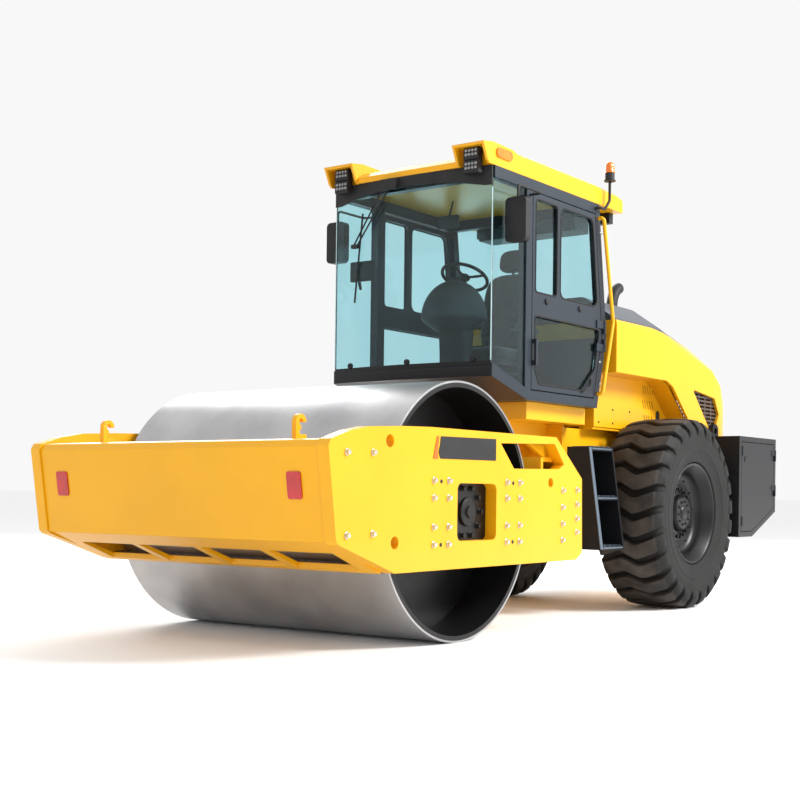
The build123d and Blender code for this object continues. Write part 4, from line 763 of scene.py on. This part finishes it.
def weld_bead(start, end, radius, pitch=0.006):
    """Rippled bead: a tube between two points whose radius swells once for each pitch."""
    length = np.linalg.norm(np.subtract(end, start))
    t = np.linspace(0, 1, max(12, int(length / pitch * 3)))
    path = np.asarray(start) + t[:, None] * np.subtract(end, start)
    angle = np.linspace(0, 2 * pi, 6, endpoint=False)
    swell = radius * (1 + 0.18 * np.sin(2 * pi * t * length / pitch))
    ahead = np.subtract(end, start) / length
    across = np.cross(ahead, (0.3, 0.5, 0.8))
    across /= np.linalg.norm(across)
    other = np.cross(ahead, across)
    points = path[:, None] + swell[:, None, None] * (np.cos(angle)[:, None] * across
                                                     + np.sin(angle)[:, None] * other)
    points[0], points[-1] = path[0], path[-1]
    return surface(points, wrap_v=True)


beam_top = span("front_beam")[1][2]
inner = plate_face - 0.080
bead = weld_bead((inner, drum_axis[1] - 1.30, beam_top), (inner, drum_axis[1] - 0.99, beam_top), 0.006)
show("weld_beads", both(bead), yellow_paint, "drum_module", "yellow_paint")
print("badge, flange bolts and welds made")

# %% [markdown]
# ## Cab fittings
# The windows are held by rubber seals that follow their rounded corners. The doors carry two
# locks and a small bent grab. The front rail has three round glass clamps over a bowed cover, and
# the lamps under the roof are clusters of small round lenses in black frames.

# %% Window seals
half_cab = span("cab_frame")[1][0] - 0.027
axle_line = wheel_mid[1]
cab_front = axle_line - 2.455
deck_z = 1.658
sill_z = 2.28
door_glass = np.array([v.co for v in nodes["door_glass_left"].data.vertices])
flat_glass = door_glass[:, 1:]
low_rows = flat_glass[flat_glass[:, 1] < sill_z]
high_rows = flat_glass[flat_glass[:, 1] > sill_z]
pane_split = door_glass[:, 1].min() + 0.333


def hull_of(points):
    """Corner points of the outline about a cloud, by the turning direction of its sorted points."""
    order = points[np.lexsort((points[:, 1], points[:, 0]))]
    chains = []
    for run in (order, order[::-1]):
        chain = []
        for point in run:
            while len(chain) > 1:
                ab, ac = chain[-1] - chain[-2], point - chain[-2]
                if ab[0] * ac[1] - ab[1] * ac[0] > 1e-9:
                    break
                chain.pop()
            chain.append(point)
        chains += chain[:-1]
    return np.array(chains)


panes = [low_rows, high_rows[high_rows[:, 0] < pane_split], high_rows[high_rows[:, 0] > pane_split]]
seal_loops = []
for pane in panes:
    corners = hull_of(pane)
    path = np.concatenate((np.full((len(corners), 1), half_cab - 0.003), corners), 1)
    seal_loops.append(carried(path, circle(0.0075, 8), up=(1, 0, 0), closed=True))
show_pair("door_seals_", stack(seal_loops), seal_rubber, "door_body_", "black_plastic")
print("seals round", 2 * len(panes), "door panes")

# %% Door locks, grab and hinges' bolts
door_front = span("door_left")[0][1]
boss = turned([(-0.004, 0), (-0.004, 0.024), (0.010, 0.022), (0.014, 0.016), (0.014, 0.006), (0.011, 0)], 20)
boss_spots = [(half_cab, door_front + 0.20, 2.318), (half_cab, door_front + 0.70, 2.322)]
t = np.linspace(0, 1, 18)
grab = np.stack((half_cab - 0.004 + 0.030 * np.sin(pi * t) ** 0.6, door_front + 0.735 + 0.150 * t,
                 1.692 + 0.115 * t ** 1.6 + 0.012 * np.sin(2 * pi * t)), -1)
locks = stack([copies(boss, boss_spots), carried(grab, circle(0.0085, 10), up=(0, 0, 1))])
show_pair("door_locks_", locks, black_grain, "door_body_", "black_plastic")
post_bolts = copies(bolt(0.009, 0.010), [(half_cab, axle_line - 0.905, z) for z in (1.78, 1.95, 2.95)])
show("post_bolts", both(post_bolts), zinc, "rear_frame", "chrome", smooth=False)
print("lock bosses on each door:", len(boss_spots))

# %% Glass clamps on the front rail
bow = 0.060
clamp_x, clamp_z = np.array([-0.52, 0.02, 0.55]), 1.842


def bowed(x):
    """The windshield's line in plan: y = chord - bow (1 - (x / half width) squared)."""
    return cab_front - bow * (1 - (x / 0.69) ** 2)


disc_shape = turned([(-0.004, 0), (-0.004, 0.022), (0.010, 0.022), (0.014, 0.018), (0.014, 0.008),
                     (0.017, 0.007), (0.017, 0)], 24, axis=1)
clamps = copies(mirrored(disc_shape, 1), np.stack((clamp_x, bowed(clamp_x), np.full(3, clamp_z)), -1))
show("glass_clamps", clamps, black_grain, "rear_frame", "black_plastic")


def bowed_strip(low, high, ahead, thick, half=0.686):
    """Strip that follows the windshield: y is the chord less a bow that falls as x squared."""
    x = np.linspace(-half, half, 49)
    y = bowed(x) - ahead
    ring = [(y + thick, low), (y, low), (y - 0.001, low + 0.004), (y - 0.001, high - 0.004), (y, high),
            (y + thick, high)]
    return capped(np.stack([np.stack((x, face, np.full(49, z)), -1) for face, z in ring], 1))


rail_cover = stack([bowed_strip(1.724, 1.786, 0.0035, 0.0045), bowed_strip(1.792, 1.828, 0.0030, 0.0040)])
show("front_rail_cover", rail_cover, black_paint_and_shade, "rear_frame", "black_plastic")
corner_seal = np.array([(0.688, axle_line - 2.4575, z) for z in np.linspace(1.832, 3.02, 12)])
seal = carried(corner_seal, circle(0.0035, 8), up=(0, 1, 0))
pale_seal = moulded("pale_glass_edge", (0.45, 0.62, 0.64), 0.3)
show("glass_corner_seals", both(seal), pale_seal, "rear_frame", "glass")
print("clamps on the front rail:", len(clamp_x))

# %% Lamp clusters
lamp_low, lamp_high = span("roof_lamps")
lamp_mid = lamp_high[0] - 0.060
led = turned([(0.0, 0), (0.0, 0.0105), (-0.003, 0.0105), (-0.006, 0.007), (-0.007, 0)], 14, axis=1)
# the lens profile runs toward the front, so its faces are turned round
led = (led[0], led[1][:, ::-1])
front_face, top_z = lamp_low[1], 3.288
led_columns, led_rows = (-0.040, -0.0135, 0.0135, 0.040), (-0.022, -0.050, -0.114, -0.142)
rows = [(dx, dz) for dz in led_rows for dx in led_columns]
led_spots = [(s * lamp_mid + dx, front_face, top_z + dz) for s in (1, -1) for dx, dz in rows]
show("lamp_lenses", copies(led, led_spots), led_lens, "rear_frame", "chrome")
print("small lenses under the roof:", len(led_spots))

# %% Mirror glasses
mirror_x = span("mirrors")[1][0] - 0.084
glass_shape = rounded([(2.672, mirror_x - 0.064), (2.672, mirror_x + 0.064),
                       (2.940, mirror_x + 0.064), (2.940, mirror_x - 0.064)], 0.026, 5)
back_y = cab_front + 0.149 + 0.031
mirror_plate = plate(glass_shape, back_y - 0.002, back_y + 0.003, 0.002, normal=1)
show("mirror_glasses", both(mirror_plate), mirror_glass, "rear_frame", "chrome")
print("mirror glass centre:", round(float(mirror_x), 3))

# %% [markdown]
# ## Seat, column and wheel
# The seat has a padded cushion, back and head rest in cloth. Each pad is a crowned closed form:
# a rounded outline whose thickness falls off toward its rim, so the sides pull in between the
# corners, with sewn channels pressed into the face. A base with a folded skirt carries the pads
# and takes the place of the solid seat. The column has a domed dial cover and a thin wheel.

# %% Pads
def eased(value, power):
    """Power of a value's size that keeps its sign: sign(v) |v| ^ p."""
    return np.sign(value) * np.abs(value) ** power


def crowned(width, depth, thick, plan=0.42, dome=0.62, rows=40, around=96, channels=()):
    """Superellipse outline of a given plan, thinning to its rim by a power of the height angle.
    Each channel presses a narrow groove into the top, falling off as a bell curve across it."""
    v = np.linspace(-pi / 2, pi / 2, rows)[:, None]
    u = np.linspace(0, 2 * pi, around, endpoint=False)[None, :]
    rim = np.cos(v) ** dome
    x = width / 2 * rim * eased(np.cos(u), plan)
    y = depth / 2 * rim * eased(np.sin(u), plan)
    z = thick / 2 * eased(np.sin(v), 0.55) * np.ones_like(u)
    for at, axis in channels:
        across = x if axis == "x" else y
        z = z - np.where(z > 0, 0.012 * np.exp(-((across - at) / 0.007) ** 2), 0)
    return surface(np.stack((x, y, z), -1), wrap_v=True)


def leaned(part, angle, place):
    """Pad stood up: its depth becomes its height, leaned back about x by an angle, then placed."""
    x, y, z = part[0].T
    up, out = y, -z
    turned_y = out * cos(angle) + up * sin(angle)
    turned_z = up * cos(angle) - out * sin(angle)
    return np.stack((x, turned_y, turned_z), -1) + np.asarray(place), part[1]


seat_y = cab_front + 1.060
cushion_z = deck_z + 0.260
cushion = moved(crowned(0.500, 0.505, 0.128, channels=[(-0.15, "x"), (0.15, "x"), (0.02, "y"), (-0.10, "y")]),
                (0, seat_y - 0.010, cushion_z + 0.065))
lean = np.arctan(0.19)
back_place = np.array((0, seat_y + 0.150 + 0.052 + 0.320 * sin(lean), cushion_z + 0.110 + 0.330))
backrest = leaned(crowned(0.462, 0.625, 0.100, plan=0.5,
                          channels=[(-0.13, "x"), (0.13, "x"), (0.05, "y"), (-0.08, "y"), (-0.20, "y")]),
                  lean, back_place)
head_place = back_place + np.array((0, 0.425 * sin(lean) + 0.004, 0.425 * cos(lean)))
headrest = leaned(crowned(0.262, 0.182, 0.078, plan=0.6), lean, head_place)
for name, part, finish in (("seat_cushion", cushion, seat_cloth), ("seat_backrest", backrest, seat_cloth),
                           ("seat_headrest", headrest, seat_trim)):
    pad = show(name, part, finish, "rear_frame", "seat_cloth")
arm_rest = crowned(0.062, 0.380, 0.050, plan=0.4, rows=20, around=48)
arm_rests = stack([moved(arm_rest, (s * 0.300, seat_y + 0.005, cushion_z + 0.262)) for s in (1, -1)])
pad = show("seat_arm_pads", arm_rests, seat_trim, "rear_frame", "seat_cloth")
print("top of the head rest:", round(float(headrest[0][:, 2].max()), 3))

# %% Seat base and brackets
def bellows(width, depth, low, high, folds):
    """Folded rubber skirt: a rounded rectangle whose size goes in and out once for each fold."""
    v = np.linspace(0, 1, folds * 8 + 1)
    u = np.linspace(0, 2 * pi, 64, endpoint=False)
    swell = 1 - 0.035 * (1 - np.cos(2 * pi * folds * v))
    x = width / 2 * swell[:, None] * eased(np.cos(u), 0.3)
    y = depth / 2 * swell[:, None] * eased(np.sin(u), 0.3)
    z = np.broadcast_to((low + (high - low) * v)[:, None], x.shape)
    return capped(np.stack((x, y, z), -1))


skirt = moved(bellows(0.350, 0.390, deck_z, 1.880, 5), (0, seat_y, 0))
pan = moved(crowned(0.480, 0.490, 0.050, plan=0.25, dome=0.3), (0, seat_y - 0.010, 1.905))
brackets = []
for s in (1, -1):
    bar = np.array([(s * 0.225, seat_y, cushion_z + 0.035), (s * 0.285, seat_y, cushion_z + 0.040),
                    (s * 0.300, seat_y, cushion_z + 0.060), (s * 0.300, seat_y, cushion_z + 0.240)])
    brackets.append(carried(bar, rounded(oblong(-0.045, -0.008, 0.045, 0.008), 0.006, 3), up=(0.1, 1, 0)))
stem = leaned(crowned(0.020, 0.120, 0.020, plan=0.8, rows=12, around=16), lean,
              head_place - np.array((0, 0.11 * sin(lean), 0.11 * cos(lean))))
seat_parts = stack([skirt, pan, stem] + brackets)
seat_frame = show("seat_frame", seat_parts, dash_grain, "rear_frame", "black_plastic")
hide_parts("seat")
print("seat pads and frame made")

# %% Screen on the front post and mirror under the roof
screen = moved(plate(rounded(oblong(-0.016, -0.075, 0.016, 0.075), 0.006, 3), -0.105, 0.105, 0.006),
               (-0.56, axle_line - 2.30, 2.57))
screen_arm = carried([(-0.655, axle_line - 2.20, 2.46), (-0.62, axle_line - 2.26, 2.50),
                      (-0.56, axle_line - 2.285, 2.53)], circle(0.012, 10))
inner_mirror = moved(plate(rounded(oblong(-0.012, -0.045, 0.012, 0.045), 0.006, 3), -0.09, 0.09, 0.006),
                     (0.20, axle_line - 2.28, 2.86))
mirror_stem = carried([(0.20, axle_line - 2.265, 2.90), (0.20, axle_line - 2.22, 3.02)], circle(0.007, 8))
screen_parts = stack([screen, screen_arm, inner_mirror, mirror_stem])
show("cab_screen", screen_parts, black_grain, "rear_frame", "black_plastic")
print("points of the screen and mirror:", len(screen_parts[0]))

# %% Column, domed dial cover and steering wheel
console_y = cab_front + 0.560
dome_low = deck_z + 0.557
column = moved(bellows(0.235, 0.165, deck_z, dome_low - 0.03, 1), (0, console_y + 0.028, 0))
dome_height = np.linspace(0, pi / 2, 22)
dome_foot = [(dome_low - 0.088, 0.0), (dome_low - 0.088, 0.136), (dome_low - 0.010, 0.244)]
dome_arc = np.stack((dome_low + 0.294 * np.sin(dome_height), 0.250 * np.cos(dome_height)), -1)
dome_profile = np.concatenate((dome_foot, dome_arc))
dome_part = turned(dome_profile, 64, axis=2)
show("dial_cover", moved(dome_part, (0, console_y, 0)), dash_grain, "rear_frame", "black_plastic")
wheel_place = np.array((0, console_y + 0.130, dome_low + 0.325))
wheel_lean = np.arctan(0.5)


def on_wheel(points):
    """Points of the flat steering wheel laid on its leaning plane."""
    x, y, z = np.moveaxis(np.asarray(points, float), -1, 0)
    return np.stack((x, y * cos(wheel_lean) + z * sin(wheel_lean),
                     z * cos(wheel_lean) - y * sin(wheel_lean)), -1) + wheel_place


turn = np.linspace(0, 2 * pi, 72, endpoint=False)
rim_path = np.stack((0.176 * np.cos(turn), 0.176 * np.sin(turn), np.full(72, 0.014)), -1)
rim_shape = carried(rim_path, circle(0.0132, 12), closed=True)
spokes = []
for a in (0.0, pi, -pi / 2):
    reach = np.linspace(0.02, 0.17, 6)
    path = np.stack((reach * cos(a), reach * sin(a), 0.014 - 0.004 * np.sin(pi * reach / 0.18)), -1)
    spokes.append(carried(path, circle(0.011, 8) * (1.3, 0.6)))
hub = turned([(0.002, 0), (0.002, 0.040), (0.020, 0.044), (0.026, 0.036), (0.0275, 0)], 28, axis=2)
shaft = turned([(-0.160, 0), (-0.160, 0.026), (0.004, 0.026), (0.004, 0)], 20, axis=2)
wheel_parts = stack([rim_shape, hub, shaft] + spokes)
wheel_parts = (on_wheel(wheel_parts[0]), wheel_parts[1])
column_parts = stack([wheel_parts, column])
column_piece = show("steering_wheel", column_parts, black_grain, "rear_frame", "black_plastic")
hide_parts("console")
print("column, cover and wheel made")

# %% [markdown]
# ## Ladders, boxes, hood and exhaust
# Ladder treads have raised grip strips and a pale front edge, the boxes behind the tyres have a
# lock and two hinge pads each, the hood has a plug and small bolts with a black plate of painted
# shade behind each of its slots, and the exhaust is a hollow bent tube.

# %% Ladder grips
def grip(start, end, width, height):
    """Grip strip: a bar along x whose top is a row of small teeth, a triangle wave in height."""
    x = np.linspace(start, end, 41)
    tooth = height * (0.55 + 0.45 * np.abs((np.arange(41) % 4) / 2 - 1))
    zero, half = np.zeros(41), np.full(41, width / 2)
    section = np.stack((np.stack((x, -half, zero), -1), np.stack((x, -half * 0.8, tooth), -1),
                        np.stack((x, half * 0.8, tooth), -1), np.stack((x, half, zero), -1)), 1)
    return capped(section)


step_back = axle_line - 1.550 / 2 - 0.485 + 0.360


step_low = 0.500


def cheek_edge(z):
    """Outer edge of the ladder's cheek: x falls in a straight line with the height z."""
    return 0.930 - 0.110 * (z - step_low) / 0.780


tread_heights = step_low + 0.375 * np.arange(3)
grips = stack([moved(grip(0.640, cheek_edge(z) - 0.006, 0.022, 0.007), (0, step_back + y, z))
               for z in tread_heights + 0.0295 for y in (-0.30, -0.22, -0.14, -0.06)])
show("ladder_grips", both(grips), slate_light, "rear_frame", "dark_paint", smooth=False)
print("ladder treads:", len(tread_heights))

# %% Ladder edge rails
front_line = [(cheek_edge(z) - 0.003, step_back - 0.350, z) for z in (0.506, 0.76, 1.02, 1.274)]
front_strip = carried(front_line, rounded(oblong(-0.030, -0.004, 0.009, 0.003), 0.002, 3), up=(1, 0, 0.14))
nosing = rounded(oblong(-0.004, -0.006, 0.003, 0.006), 0.002, 3)
tread_edges = [carried([(cheek_edge(z) - 0.002, step_back + y, z) for y in (-0.335, -0.025)], nosing)
               for z in tread_heights + 0.015]
edge = stack([front_strip] + tread_edges)
show("ladder_edges", both(edge), slate_light, "rear_frame", "dark_paint")
print("pale strips on each ladder:", 1 + len(tread_edges))

# %% Box locks
lid_front = span("box_lid_left")[0][1]
lock = stack([turned([(-0.004, 0), (-0.004, 0.030), (0.003, 0.030), (0.004, 0.024),
                      (0.001, 0.020), (0.001, 0)], 24),
              turned([(0.0, 0), (0.0, 0.011), (0.004, 0.010), (0.004, 0)], 12)])
lock_spots = [(1.150, lid_front + 0.085, 1.245)]
pads = [plate(rounded([(lid_front + 0.012, z), (lid_front + 0.052, z), (lid_front + 0.052, z + 0.085),
                       (lid_front + 0.012, z + 0.085)], 0.006, 3), 1.149, 1.156, 0.002) for z in (0.66, 1.27)]
show_pair("box_locks_", stack([copies(lock, lock_spots)] + pads), black_grain, "lid_body_", "black_plastic")
print("hinge pads on each lid:", len(pads))

# %% Hood fittings
hood_front = span("hood")[0][1]
panel_x = 0.540
plug = turned([(-0.003, 0), (-0.003, 0.034), (0.004, 0.034), (0.008, 0.026), (0.008, 0)], 24)
plug = (plug[0] * (1, 1, 1.5), plug[1])
band_back = hood_front + 1.040 - 0.060
band_bolts = [(0.06, 1.50), (0.36, 1.50), (0.66, 1.50), (0.90, 1.50), (0.36, 1.61), (0.66, 1.61)]
band_bolts = [(panel_x + 0.014, band_back - y, z) for y, z in band_bolts]
fittings = stack([moved(plug, (panel_x, band_back + 0.20, 1.60)), copies(bolt(0.008, 0.007), band_bolts)])
slot_lean = np.radians(24.0)
slot_y, slot_z = np.array(oblong(-0.0057, -0.0415, 0.0057, 0.0415)).T
slot = np.stack((slot_y * cos(slot_lean) - slot_z * sin(slot_lean),
                 slot_y * sin(slot_lean) + slot_z * cos(slot_lean)), -1)
# painted shade: black plates just inside the hood wall behind each slot stand for the shade of the hood's
# dark inside
shade_plates = []
for row_z in (1.560, 1.690, 1.815):
    for column in range(-2, 3):
        # the lowest row lies partly in the raised band, so its shade plates reach further out
        face_at = panel_x + (0.012 if row_z < 1.6 and column < 1 else -0.003)
        middle = (band_back + 0.010 + 0.044 * column, row_z)
        shade_plates.append(plate(slot + middle, panel_x - 0.022, face_at, 0.001))
print("slot liners on each side:", len(shade_plates))
shade_plates = stack(shade_plates)
show("slot_shade_plates", both(shade_plates), black_paint_and_shade, "hood_body", "black_plastic", smooth=False)
show("hood_fittings", both(fittings), black_grain, "hood_body", "black_plastic")

# %% Exhaust
t = np.linspace(0, 1, 24)
# quadratic curve: (1 - t)^2 r0 + 2 t (1 - t) r1 + t^2 r2, from the hood's top
foot = np.array((0.300, hood_front + 0.770, 2.501))
rise = np.array([(0, 0, 0), (0, 0, 0.150), (0, 0.125, 0.196)])
bend_path = (foot + ((1 - t) ** 2)[:, None] * rise[0] + (2 * t * (1 - t))[:, None] * rise[1]
             + (t ** 2)[:, None] * rise[2])


def hollow_tube(path, outer, inner):
    """Tube with a wall: the outer skin runs to the mouth, turns in and comes back inside."""
    ahead = np.gradient(path, axis=0)
    ahead /= np.linalg.norm(ahead, axis=1, keepdims=True)
    side = np.broadcast_to((1.0, 0.0, 0.0), ahead.shape)
    lift = np.cross(ahead, side)
    angle = np.linspace(0, 2 * pi, 28, endpoint=False)
    ring = np.cos(angle)[None, :, None] * side[:, None] + np.sin(angle)[None, :, None] * lift[:, None]
    outside = path[:, None] + outer * ring
    inside = (path[:, None] + inner * ring)[::-1][:16]
    floor_point = np.broadcast_to(inside[-1].mean(0), inside[-1:].shape)
    base = np.broadcast_to(path[0], outside[:1].shape)
    return surface(np.concatenate((base, outside, inside, floor_point)), wrap_v=True)


exhaust_piece = show("exhaust_pipe", hollow_tube(bend_path, 0.0475, 0.0425), black_grain, "hood_body",
                     "black_plastic")
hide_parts("exhaust")
print("exhaust mouth height:", round(float(bend_path[-1][2]), 3))

# %% [markdown]
# ## Beacon
# The beacon's lens is a ribbed dome over an amber base ring. Its radius ripples a little round
# the circumference, which gives the vertical ribs.

# %% Beacon lens
beacon_low, beacon_high = span("beacon")
beacon_mid = (beacon_low + beacon_high) / 2
height = beacon_high[2] - beacon_low[2]
rise = np.array([0.0, 0.0, 0.04, 0.08, 0.12, 0.5, 0.66, 0.78, 0.88, 0.95, 0.99, 1.0, 1.0])
reach = np.array([0.0, 1.0, 1.0, 0.93, 0.92, 0.90, 0.87, 0.79, 0.64, 0.43, 0.2, 0.08, 0.0])
angle = np.linspace(0, 2 * pi, 96, endpoint=False)
ripple = 1 - 0.025 * (np.cos(24 * angle) < 0) * 1.0
radius = (beacon_high[0] - beacon_mid[0]) * reach[:, None] * np.where(rise[:, None] > 0.1, ripple[None], 1.0)
dome_points = np.stack((beacon_mid[0] + radius * np.cos(angle), beacon_mid[1] + radius * np.sin(angle),
                        np.broadcast_to((beacon_low[2] + height * rise)[:, None], radius.shape)), -1)
beacon_piece = show("beacon_lens", surface(dome_points, wrap_v=True), amber, "rear_frame", "amber")
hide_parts("beacon")
print("beacon height:", round(float(height), 3))
